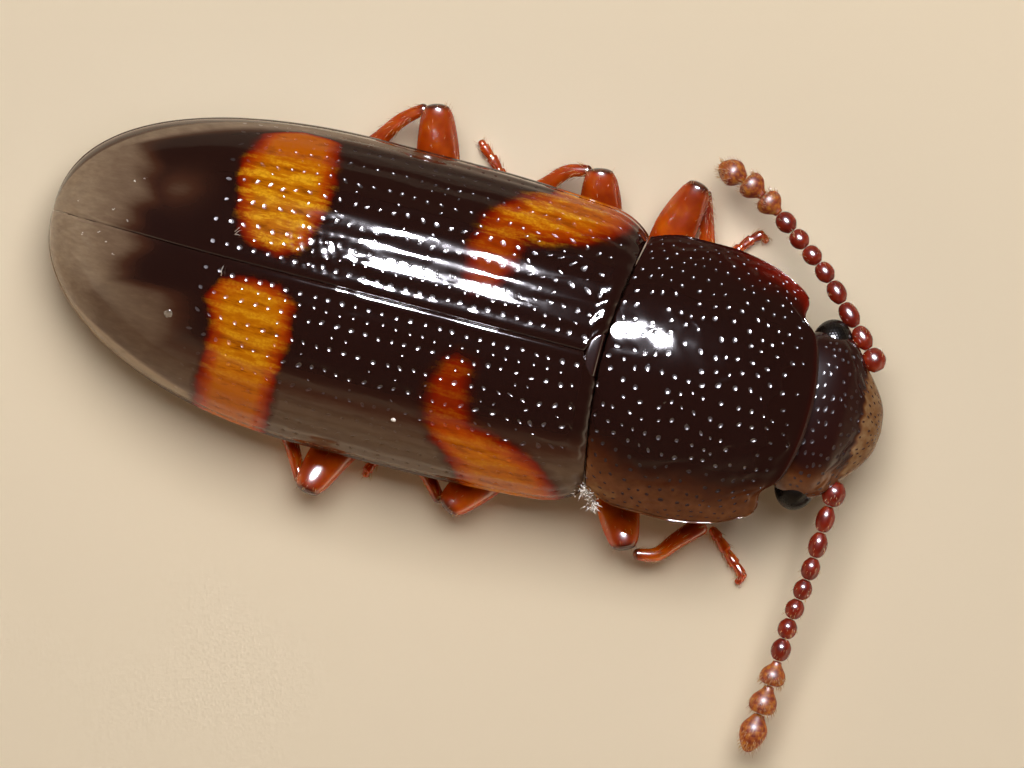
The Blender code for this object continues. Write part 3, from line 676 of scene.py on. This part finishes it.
def makeThorax():
    rows, columns = thorax["rows"], thorax["columns"]

    def picks(r, c):
        return 1 <= r < rows - 2 and 0 < c < columns - 1 and (r * 5 + c * 3 + r * c) % 13 > 0

    insets = ((0.26, 0.0), (0.12, 0.0))
    piece = pittedGrid("pronotumShield", rows, columns + thorax["under"], [(picks, insets)])
    p, q, _ = getPoints(piece).T
    upper = q <= columns
    body = ease(0.6, 1.6, p) * ease(rows - 1.3, rows - 2.6, p)
    body = body * ease(0, 1.2, q) * ease(columns, columns - 1.2, q)
    cell = (0.085, 0.085)
    p1, q1, sunk, inPit = sinkPits(p, q, picks, cell, thorax["pitRadius"], thorax["pitDepth"], 0.14)
    brick = 0.24 * np.cos(math.pi * (q - 0.5))
    pWarped = p1 + body * (brick + 0.16 * np.sin(0.9 * p + 1.3 * q) + 0.12 * np.sin(1.3 * p - 1.1 * q + 1))
    qWarped = q1 + body * (0.16 * np.sin(1.2 * p + 0.5 * q) + 0.15 * np.sin(0.8 * p - 1.1 * q + 2))
    edge = np.minimum(q, columns - q)
    lift = -sunk * (0.2 + 0.8 * ease(0.8, 4.5, edge))
    lift = lift + 0.006 * bump(edge, 0.15, 0.3) - 0.008 * bump(edge, 0.85, 0.35)  # side bead
    lift = lift - 0.004 * bump(p, rows - 1.7, 0.35)  # front bead
    lift = np.where(upper, lift + 0.0005 * ripple(p, q) * body, 0)
    settle(piece, thoraxSurface, pWarped, qWarped, lift)
    frontness = ease(rows * 0.35, rows * 0.8, p)
    side = 2 * q / columns - 1  # -1 at the right margin, 1 at the left one
    thin = (0.15 + 0.85 * frontness) * np.where(side > 0, ease(6.8, 2.0, edge), ease(4.2, 1.0, edge))
    thin = thin + 0.40 * bump(p, rows - 1.1, 0.18)
    # painted reflection: brown on the right flank, away from the lamp, and a little more towards the hind
    # edge on that side
    film = 0.58 * ease(-0.34, -0.74, side) + 0.16 * ease(-0.24, -0.50, side) * ease(4.5, 1.0, p)
    ends = np.maximum(ease(rows - 4.4, rows - 2.9, p), ease(1.7, 0.9, p))
    flank = np.maximum(ease(0.33, 0.48, np.abs(side)), ends)
    addAttributes(piece, thin=np.where(upper, np.clip(thin, 0, 1), 0.35), dull=np.where(upper, inPit, 0.3),
                  pitted=inPit, film=np.where(upper, film, 0), flank=np.where(upper, flank, 0.6))
    closeRing(piece)
    return finishPiece(piece, blackCuticle, ["prothorax"])


makeThorax()

headShape = {"rows": 15, "columns": 22, "under": 9, "pitRadius": 0.0105, "pitDepth": 0.0042,
             "neckX": 1.98, "length": 0.618}
# half the width and the heights of the head against the forward distance
headSide = ((1.98, 0.485), (2.10, 0.540), (2.21, 0.545), (2.30, 0.505), (2.37, 0.43), (2.42, 0.368),
            (2.473, 0.306), (2.52, 0.245), (2.56, 0.18), (2.585, 0.11), (2.598, 0.003))
headTop = ((1.98, 0.87), (2.15, 0.845), (2.30, 0.80), (2.42, 0.725), (2.50, 0.655), (2.56, 0.58),
           (2.598, 0.467))
headBottom = ((1.98, 0.26), (2.3, 0.28), (2.5, 0.36), (2.598, 0.463))
headMiddle = ((1.98, 0.60), (2.4, 0.53), (2.598, 0.465))


def headSurface(p, q):
    v = np.clip(p / headShape["rows"], 0, 1)
    x = headShape["neckX"] + headShape["length"] * (1 - (1 - v) ** 1.35)
    side, middle, top, bottom = (curveAt(table, x) for table in (headSide, headMiddle, headTop, headBottom))
    y, z, _ = ringSection(q, headShape["columns"], headShape["under"], side, middle, top, bottom,
                          power=2.1, lip=0.0, keel=0.6)
    return np.stack([x, y, z], axis=1)


def makeHead():
    rows, columns = headShape["rows"], headShape["columns"]

    def picks(r, c):
        return 1 < r < rows - 1 and 1 < c < columns - 2 and (r * 3 + c * 7 + r * c) % 5 > 1

    insets = ((0.29, 0.0), (0.10, 0.0))
    piece = pittedGrid("headCapsule", rows, columns + headShape["under"], [(picks, insets)])
    p, q, _ = getPoints(piece).T
    upper = q <= columns
    body = ease(0.5, 1.5, p) * ease(rows - 0.5, rows - 1.5, p)
    body = body * ease(0, 1.2, q) * ease(columns, columns - 1.2, q)
    cell = (0.045, 0.052)
    p1, q1, sunk, inPit = sinkPits(p, q, picks, cell, headShape["pitRadius"], headShape["pitDepth"], 0.15)
    pWarped = p1 + body * (0.23 * np.cos(math.pi * (q - 0.5)) + 0.12 * np.sin(1.1 * p + 1.7 * q))
    qWarped = q1 + body * 0.18 * np.sin(1.3 * p + 1.1 * q)
    x = headSurface(p, q)[:, 0]
    spread = np.abs(q / columns - 0.5)
    lift = -sunk * (0.5 + 0.5 * ease(2.3, 2.45, x))
    seam = 2.435 - 1.1 * (spread - 0.05).clip(0) ** 1.5
    lift = lift - 0.003 * bump(x, seam, 0.012)  # seam behind the clypeus
    lift = lift + 0.014 * bump(x, 2.33, 0.06) * bump(spread, 0.37, 0.07)  # ridge over each feeler
    lift = lift - 0.012 * bump(x, 2.42, 0.05) * bump(spread, 0.30, 0.06)
    lift = np.where(upper, lift, 0) * body
    settle(piece, headSurface, pWarped, qWarped, lift)
    side = 2 * q / columns - 1
    film = 0.86 * ease(2.435, 2.475, x + 0.05 * np.abs(side))  # the clypeus gets a pale painted reflection
    # painted reflection: brown on the right side of the head, away from the lamp
    film = film + 0.58 * ease(-0.32, -0.62, side) * ease(2.45, 2.38, x)
    addAttributes(piece, thin=np.where(upper, 0.10 + 0.2 * ease(0.40, 0.5, spread), 0.4),
                  dull=np.where(upper, np.maximum(inPit, 0.4 + 0.2 * ease(2.35, 2.45, x)), 0.5),
                  pitted=inPit, film=np.where(upper, film, 0),
                  flank=np.where(upper, np.maximum(0.75, ease(2.26, 2.38, x)), 0.6))
    closeRing(piece)
    return finishPiece(piece, blackCuticle, ["head"])


makeHead()


# height of the belly's middle line against the forward distance
keelLine = ((-2.8, 0.25), (-2.4, 0.12), (-1.9, 0.04), (-1.3, 0.003), (0.45, 0.003), (0.72, 0.06))


def makeTrunk(name, node, startX, endX, rows, seams, sweep=0):
    # plated belly; the back part stays hidden under the wing cases
    back, belly = 8, 30

    def picks(r, c):
        return back + 2 < c < back + belly - 3 and 0 < r < rows - 1 and (r * 3 + c * 5) % 4 == 0

    piece = pittedGrid(name, rows, back + belly, [(picks, ((0.3, 0.0), (0.08, -0.8)))])
    p, q, sunk = getPoints(piece).T

    def surface(p, q):
        v = np.clip(p / rows, 0, 1)
        x = startX + (endX - startX) * v
        halfWidth = np.maximum(wingWidth(x) - 0.075, 0.05)
        topZ, marginZ = wingTop(x) - 0.10, wingMarginZ(x) - 0.03
        keelZ = curveAt(keelLine, x)
        y, z, isUnder = ringSection(q, back, belly, halfWidth, marginZ, topZ, keelZ, power=2.2, lip=0.0)
        flat = np.clip((np.abs(y) / halfWidth - 0.2) / 0.8, 0, 1)
        x = x + sweep * (y / halfWidth) ** 2 * ease(-0.1, 0.72, x)
        return np.stack([x, y, np.where(isUnder, keelZ + (marginZ - keelZ) * flat ** 1.15, z)], axis=1)

    x = surface(p, q)[:, 0]
    lift = 0.006 * sunk
    for seam in seams:  # each plate overlaps the next one behind it
        behind = seam - x
        lift = lift - 0.022 * np.where(behind > 0, np.exp(-behind / 0.10), np.exp(behind / 0.008))
    lift = np.where(q > back, np.minimum(lift, 0), 0)
    settle(piece, surface, p, q, np.sign(endX - startX) * lift)
    inPit = sunk < -0.3
    addAttributes(piece, thin=np.where(q > back, 0.55, 0.2), dull=0.3 + 0.5 * inPit, film=0, flank=0.5,
                  pitted=inPit)
    closeRing(piece)
    return finishPiece(piece, blackCuticle, [node])


makeTrunk("hindThorax", "metathorax", -0.514, 0.72, 18, (0.30,), sweep=0.10)
makeTrunk("abdomen", "abdomen", -2.79, -0.522, 34, (-1.02, -1.42, -1.80, -2.16))
print("stage: body plates ready")


def limb(name, path, widths, thicknesses, replaced, material, detail=None, rings=40, segments=24,
         caps=(0.06, 0.06), joint=None):
    # a ball drawn out along a path; detail(s, angle) scales its radius
    piece = startPiece(name, bpy.ops.mesh.primitive_uv_sphere_add, segments=segments, ring_count=rings,
                       radius=1)
    x, y, z = getPoints(piece).T
    u = np.arccos(np.clip(z, -1, 1)) / math.pi
    angle = np.arctan2(y, x)
    start, end = caps
    edge = 0.12  # share of the rings spent on each rounded end
    low, high = np.clip(u / edge, 0, 1), np.clip((1 - u) / edge, 0, 1)
    middle = start + (1 - start - end) * (u - edge) / (1 - 2 * edge)
    s = np.where(u < edge, start * (1 - np.cos(low * math.pi / 2)),
                 np.where(u > 1 - edge, 1 - end * (1 - np.cos(high * math.pi / 2)), middle))
    rounding = np.sin(low * math.pi / 2) * np.sin(high * math.pi / 2)
    centre, _, across, above = frameAlong(path, s, 0.01)
    scale = rounding * (detail(s, angle) if detail else 1)
    wide = (alongPath(widths, s) * scale * np.cos(angle))[:, None]
    tall = (alongPath(thicknesses, s) * scale * np.sin(angle))[:, None]
    setPoints(piece, (centre + across * wide + above * tall) * mm)
    if joint:
        addAttributes(piece, joint=ease(joint[0], joint[1], s) * joint[2])
    turnOutward(piece)
    return finishPiece(piece, material, replaced)


hairRoots = []  # (root, direction, length, thickness) of every fine hair, in millimetres


def plantHairs(path, widths, thicknesses, count, length, thickness, start=0.1, end=1.0, lean=0.8):
    # scatters hairs over a limb, all leaning towards its tip
    s = dice.uniform(start, end, count)
    angle = dice.uniform(0, 2 * math.pi, count)
    centre, forward, across, above = frameAlong(path, s, 0.02)
    out = across * np.cos(angle)[:, None] + above * np.sin(angle)[:, None]
    root = (centre + across * (alongPath(widths, s) * 0.93 * np.cos(angle))[:, None]
            + above * (alongPath(thicknesses, s) * 0.93 * np.sin(angle))[:, None])
    towards = unit(out + forward * lean + dice.normal(0, 0.12, (count, 3)))
    for i in range(count):
        hairRoots.append((root[i], towards[i], forward[i], length * dice.uniform(0.7, 1.2), thickness))


feeler = {"baseZ": 0.56, "tipZ": 0.30, "gap": 0.002,
          "widths": (0.150, 0.120, 0.122, 0.120, 0.120, 0.121, 0.124, 0.128, 0.168, 0.178, 0.176)}
feelerNames = ("scape", "pedicel", *("bead_" + str(i) for i in range(3, 9)),
               *("club_" + str(i) for i in range(9, 12)))
feelerPaths = {
    "left": ((2.436, 0.435), (2.338, 0.555), (2.207, 0.672), (2.097, 0.806), (1.994, 0.907), (1.888, 0.992),
             (1.783, 1.065), (1.678, 1.155), (1.560, 1.240), (1.426, 1.326), (1.281, 1.388), (1.166, 1.409)),
    "right": ((2.402, -0.459), (2.383, -0.625), (2.391, -0.806), (2.382, -0.962), (2.367, -1.101),
              (2.346, -1.231), (2.331, -1.364), (2.333, -1.499), (2.323, -1.661), (2.315, -1.828),
              (2.288, -2.047), (2.281, -2.197))}
beadProfile = (0.44, 0.72, 0.93, 1.0, 1.0, 0.94, 0.77, 0.46)  # stalk first, widest past the middle
cupProfile = (0.34, 0.42, 0.66, 0.88, 0.98, 1.0, 0.93, 0.62)
tipProfile = (0.36, 0.62, 0.90, 1.0, 0.96, 0.82, 0.58, 0.24)
for side, stations in feelerPaths.items():
    centres = [Vector((x, y, feeler["baseZ"] + (feeler["tipZ"] - feeler["baseZ"]) * i / 11))
               for i, (x, y) in enumerate(stations)]
    for index, beadName in enumerate(feelerNames):
        centre, ahead = centres[index], centres[index + 1]
        behind = centres[index - 1] if index else centre - (ahead - centre)
        start, end = behind.lerp(centre, 0.5), centre.lerp(ahead, 0.5 if index < 10 else 1.0)
        along = (end - start).normalized()
        start, end = start + along * feeler["gap"], end - along * feeler["gap"]
        path = [start, start.lerp(end, 0.5), end]
        profile = tipProfile if index == 10 else cupProfile if index > 7 else beadProfile
        half = [feeler["widths"][index] / 2 * size for size in profile]
        inClub = index > 7
        limb("feeler" + side.title() + str(index + 1), path, half, half,
             ["antenna_" + side + "_" + beadName], clubCuticle if inClub else feelerCuticle,
             rings=20, segments=20, caps=(0.03, 0.06))
        plantHairs(path, half, half, count=200 if inClub else 24, length=0.034 if inClub else 0.028,
                   thickness=0.0014, start=0.2, end=1.0 if inClub else 0.9, lean=1.3)
print("stage: feelers ready")

# legs from the hip outward; feet lie flat, so only their forward and sideways places are given
legs = {
    "front_left": {
        "femur": ((1.03, 0.42, 0.11), (0.98, 0.68, 0.18), (0.995, 0.92, 0.26), (1.055, 1.15, 0.34),
                  (1.085, 1.262, 0.37)),
        "tibia": ((1.125, 1.235, 0.27), (1.175, 1.07, 0.22), (1.225, 0.89, 0.165), (1.28, 0.73, 0.10)),
        "tarsus": ((1.34, 0.765), (1.40, 0.88), (1.47, 0.98), (1.545, 1.05), (1.6, 1.015))},
    "front_right": {
        "femur": ((1.03, -0.42, 0.11), (1.03, -0.64, 0.18), (1.09, -0.87, 0.26), (1.165, -1.05, 0.33),
                  (1.2, -1.14, 0.35)),
        "tibia": ((1.26, -1.15, 0.25), (1.41, -1.11, 0.22), (1.515, -0.99, 0.16), (1.66, -0.835, 0.10)),
        "tarsus": ((1.705, -0.85), (1.79, -0.925), (1.88, -1.01), (1.975, -1.10), (1.955, -1.165))},
    "middle_left": {
        "femur": ((0.585, 0.57, 0.10), (0.55, 0.75, 0.16), (0.50, 0.95, 0.24), (0.455, 1.12, 0.31),
                  (0.44, 1.195, 0.33)),
        "tibia": ((0.39, 1.17, 0.235), (0.235, 1.125, 0.20), (0.115, 1.0, 0.145), (-0.03, 0.87, 0.09)),
        "tarsus": ((-0.075, 0.89), (-0.15, 0.98), (-0.23, 1.07), (-0.32, 1.15), (-0.36, 1.19))},
    "middle_right": {
        "femur": ((0.52, -0.56, 0.10), (0.36, -0.74, 0.16), (0.19, -0.94, 0.24), (0.075, -1.10, 0.30),
                  (0.025, -1.18, 0.32)),
        "tibia": ((-0.015, -1.14, 0.225), (-0.135, -1.0, 0.185), (-0.265, -0.87, 0.135),
                  (-0.37, -0.78, 0.09)),
        "tarsus": ((-0.415, -0.835), (-0.445, -0.89), (-0.49, -0.97), (-0.525, -1.05), (-0.53, -1.1))},
    "hind_left": {
        "femur": ((-0.46, 0.57, 0.10), (-0.53, 0.80, 0.17), (-0.60, 1.03, 0.25), (-0.66, 1.24, 0.33),
                  (-0.682, 1.33, 0.35)),
        "tibia": ((-0.735, 1.30, 0.25), (-0.88, 1.18, 0.205), (-1.01, 1.0, 0.145), (-1.16, 0.83, 0.09)),
        "tarsus": ((-1.215, 0.825), (-1.34, 0.86), (-1.46, 0.88), (-1.58, 0.89), (-1.64, 0.87))},
    "hind_right": {
        "femur": ((-0.50, -0.56, 0.10), (-0.63, -0.77, 0.17), (-0.76, -0.98, 0.25), (-0.845, -1.20, 0.32),
                  (-0.87, -1.30, 0.34)),
        "tibia": ((-0.915, -1.25, 0.24), (-1.015, -1.06, 0.195), (-1.13, -0.89, 0.14), (-1.25, -0.75, 0.09)),
        "tarsus": ((-1.305, -0.75), (-1.43, -0.785), (-1.54, -0.81), (-1.64, -0.82), (-1.70, -0.80))}}
coxae = {"front": {"place": (1.08, 0.23, 0.075), "radii": (0.108, 0.138, 0.058)},
         "middle": {"place": (0.60, 0.46, 0.066), "radii": (0.108, 0.088, 0.048)},
         "hind": {"place": (-0.40, 0.46, 0.066), "radii": (0.118, 0.088, 0.048)}}
femurWide, femurThick = (0.06, 0.125, 0.138, 0.108, 0.064), (0.04, 0.063, 0.072, 0.070, 0.052)
tibiaWide, tibiaThick = (0.036, 0.046, 0.055, 0.064), (0.035, 0.041, 0.043, 0.040)
tarsusWide = (0.034, 0.040, 0.038, 0.036, 0.020)
tarsusHeights = (0.0425, 0.0425, 0.0425, 0.0425, 0.03)


def femurDetail(s, angle):
    groove = bump(np.abs(angle + math.pi / 2), 0, 0.45) * ease(0.45, 0.8, s)  # groove that takes the tibia
    return 1 - 0.22 * groove


def tarsusDetail(s, angle):
    inSegment = (s * 5) % 1.0  # five short segments
    return 0.62 + 0.38 * inSegment ** 0.6 * ease(1.0, 0.90, inSegment)


def coxaDetail(s, angle):
    return np.sin(math.pi * np.clip(s, 0.02, 0.98)) ** 0.45


for legName, leg in legs.items():
    pair, side = legName.split("_")
    label = pair + side.title()
    x, y, z = coxae[pair]["place"]
    y = y if side == "left" else -y
    wide, reach, tall = coxae[pair]["radii"]
    femur, tibia = leg["femur"], leg["tibia"]
    tarsus = [(*spot, height) for spot, height in zip(leg["tarsus"], tarsusHeights)]
    limb("coxa" + label.title(), ((x, y - reach, z), (x, y, z), (x, y + reach, z)), (wide,) * 3, (tall,) * 3,
         ["coxa_" + legName], mouthCuticle, coxaDetail, rings=20)
    limb(label + "Femur", femur, femurWide, femurThick, ["femur_" + legName], legCuticle, femurDetail,
         joint=(0.84, 0.97, 0.85))
    limb(label + "Tibia", tibia, tibiaWide, tibiaThick, ["tibia_" + legName], legCuticle,
         joint=(0.14, 0.03, 0.75))
    limb(label + "Tarsus", tarsus, tarsusWide, tarsusWide, ["tarsus_" + legName], legCuticle,
         tarsusDetail, rings=60)
    plantHairs(femur, femurWide, femurThick, 60, 0.035, 0.0015, start=0.2, end=0.97, lean=1.6)
    plantHairs(tibia, tibiaWide, tibiaThick, 130, 0.040, 0.0016, start=0.05, end=0.98, lean=1.2)
    # spurs at the tip
    plantHairs(tibia, tibiaWide, tibiaThick, 8, 0.060, 0.0030, start=0.95, end=0.99, lean=3.0)
    plantHairs(tarsus, tarsusWide, tarsusWide, 90, 0.034, 0.0015, start=0.05, end=0.95, lean=1.4)
print("stage: legs ready")


eye = {"centre": (2.150, 0.470, 0.540), "radii": (0.132, 0.157, 0.150), "lensAngle": 0.085,
       "lensRise": 0.014}


def makeEye(side, word):
    # many small lenses bulge out of a ball; their centres are the corners of a coarser ball
    lenses = getPoints(startPiece("lenses", bpy.ops.mesh.primitive_ico_sphere_add, subdivisions=4, radius=1))
    bpy.ops.object.delete()
    piece = startPiece("eye" + word.title(), bpy.ops.mesh.primitive_ico_sphere_add, subdivisions=6, radius=1)
    points = getPoints(piece)
    away = np.arccos(np.clip(np.max(points @ lenses.T, axis=1), -1, 1))  # angle to the nearest lens centre
    scale = 1 + eye["lensRise"] * (1 - (away / eye["lensAngle"]) ** 2).clip(0)
    centre = eye["centre"] * np.array((1, side, 1))
    setPoints(piece, (points / (1 + eye["lensRise"]) * scale[:, None] * eye["radii"] + centre) * mm)
    return finishPiece(piece, eyeCuticle, ["eye_" + word])


mouthparts = {
    "mandible": {"path": ((2.38, 0.20, 0.275), (2.46, 0.205, 0.30), (2.53, 0.168, 0.312),
                          (2.575, 0.09, 0.30)),
                 "wide": (0.06, 0.055, 0.038, 0.012), "thick": (0.048, 0.045, 0.03, 0.012), "rings": 24},
    "palp": {"path": ((2.30, 0.15, 0.245), (2.38, 0.19, 0.185), (2.46, 0.20, 0.17), (2.53, 0.18, 0.175)),
             "wide": (0.022, 0.03, 0.034, 0.016), "thick": (0.022, 0.03, 0.034, 0.016), "rings": 48}}


def palpDetail(s, angle):
    return 0.7 + 0.3 * np.abs(np.sin(3 * math.pi * s)) ** 0.5  # three short segments


for side, word in ((1, "left"), (-1, "right")):
    makeEye(side, word)
    for name, part in mouthparts.items():
        path = [(x, side * y, z) for x, y, z in part["path"]]
        limb(name + word.title(), path, part["wide"], part["thick"], [name + "_" + word],
             mouthCuticle, palpDetail if name == "palp" else None, rings=part["rings"])
limb("labrumPlate", ((2.47, 0, 0.315), (2.52, 0, 0.34), (2.572, 0, 0.37)), (0.12, 0.125, 0.09),
     (0.02, 0.022, 0.015), ["labrum"], mouthCuticle, rings=24, caps=(0.2, 0.3))

shield = {"length": 0.098, "halfWidth": 0.140, "rise": 0.010, "thickness": 0.045}
scutellum = startPiece("scutellum", bpy.ops.mesh.primitive_grid_add, x_subdivisions=24, y_subdivisions=24,
                       size=1)
bpy.ops.object.mode_set(mode="EDIT")
bpy.ops.mesh.extrude_region_move(TRANSFORM_OT_translate={"value": (0, 0, -1)})
bpy.ops.object.mode_set(mode="OBJECT")
turnOutward(scutellum)
x, y, z = getPoints(scutellum).T
back = 0.5 - x
width = shield["halfWidth"] * np.sqrt(1 - (back * 0.985) ** 2)
plateX = 0.735 - back * shield["length"]
crown = 1 - (2 * y) ** 2 * 0.6
plateZ = wingTop(plateX) + 0.002 - shield["rise"] * (1 - crown) - shield["thickness"] * (z < -0.5)
plateZ = plateZ - 0.010 * np.exp(-(0.5 + x) / 0.05) - 0.05 * np.exp(-(0.5 - x) / 0.08)
setPoints(scutellum, np.stack([plateX, width * 2 * y, plateZ], axis=1) * mm)
addAttributes(scutellum, thin=0.1, dull=0.3, film=0, flank=0, pitted=0)
finishPiece(scutellum, blackCuticle, ["scutellum"])


thirds = (0.0, 2.094, 4.189)  # three even turns


def hairPiece(name, hairs, material):
    # thousands of hairs go straight into one mesh; each is a bent three-sided spike with seven corners
    points, faces = [], []
    for root, towards, forward, length, thickness in hairs:
        side = unit(np.cross(towards, (0.3, 0.2, 0.9)))
        other = np.cross(towards, side)
        first = len(points)
        bend = forward * 0.25 * length
        for reach, thick, bent in ((0.0, 1.0, 0.0), (0.55, 0.7, 0.3)):
            for turn in thirds:
                rim = side * math.cos(turn) + other * math.sin(turn)
                points.append(root + towards * length * reach + bend * bent + rim * thickness * thick)
        points.append(root + towards * length + bend)
        for i, j in ((0, 1), (1, 2), (2, 0)):
            faces.append((first + i, first + j, first + 3 + j, first + 3 + i))
            faces.append((first + 3 + i, first + 3 + j, first + 6))
        faces.append((first + 2, first + 1, first))
    mesh = bpy.data.meshes.new(name)
    mesh.from_pydata([tuple(point * mm) for point in points], [], faces)
    piece = bpy.data.objects.new(name, mesh)
    bpy.context.scene.collection.objects.link(piece)
    return finishPiece(piece, material)


# hairs that would run into the floor or past the end of the right feeler are left out
keptHairs = [hair for hair in hairRoots if (hair[0] + hair[1] * hair[3])[2] > 0.004 and hair[0][1] > -2.19]
hairPiece("fineHairs", keptHairs, hairMaterial)

fluffAndSparkles = []  # fluff caught at the right shoulder, then stray hairs and painted sparkles
for spot, spread, count in (((0.865, -0.835, 0.745), 0.026, 110), ((0.925, -0.925, 0.70), 0.020, 50)):
    for _ in range(count):
        towards = unit(dice.normal(0, 1, 3))
        root = np.array(spot) + dice.normal(0, spread, 3)
        fluffAndSparkles.append((root, towards, dice.normal(0, 1, 3), dice.uniform(0.015, 0.045), 0.0036))
for spot in ((-1.700, 0.169, 1.20), (-1.718, -0.108, 1.195)):  # stray pale hairs beside the hind marks
    for _ in range(3):
        towards = unit(np.array((dice.normal(0.2, 0.5), dice.normal(0.6, 0.3), 0.25)))
        root = np.array(spot) + dice.normal(0, 0.006, 3)
        fluffAndSparkles.append((root, towards, dice.normal(0, 1, 3), 0.045, 0.0022))
# white specks near the tip standing in for sparkles, painted glints: side, row and column
for side, p, q in ((1, 33.6, 6.6), (1, 34.1, 6.2), (1, 37.2, 3.1), (1, 34.8, 2.3), (1, 33.9, 1.3),
                   (-1, 35.3, 1.5), (-1, 36.3, 2.7), (-1, 34.7, 2.4), (-1, 34.2, 3.5)):
    spot = wingSurface(side, np.array([p]), np.array([q]))[0]
    for _ in range(3):
        root = spot + dice.normal(0, 0.005, 3) * (1, 1, 0.2)
        fluffAndSparkles.append((root, np.array((0.1, 0.2, 0.97)), dice.normal(0, 1, 3), 0.007, 0.0042))
hairPiece("shoulderFluffAndSparkles", fluffAndSparkles, lintAndSparkleMaterial)


def addSpeck(name, p, q, radii, sunk, material):
    # a grain or a dried drop on the right wing case, on the row and column given
    spot = wingSurface(-1, np.array([p]), np.array([q]))[0]
    speck = startPiece(name, bpy.ops.mesh.primitive_ico_sphere_add, subdivisions=4, radius=1)
    points = getPoints(speck)
    points = points * (1 + 0.10 * np.sin(5 * points[:, :1] + 3 * points[:, 1:2])) * radii + (0, 0, -sunk)
    outward = Vector(spot - (spot[0], 0, 0.35)).normalized()
    turned = points @ np.array(Vector((0, 0, 1)).rotation_difference(outward).to_matrix()).T
    setPoints(speck, (spot + turned) * mm)
    return finishPiece(speck, material)


addSpeck("paleGrain", 13.0, 10.2, (0.016, 0.012, 0.010), -0.004, lintAndSparkleMaterial)
addSpeck("driedDrop", 30.2, 7.0, (0.032, 0.029, 0.011), 0.002, dropReflectionMaterial)
print("stage: small pieces ready")
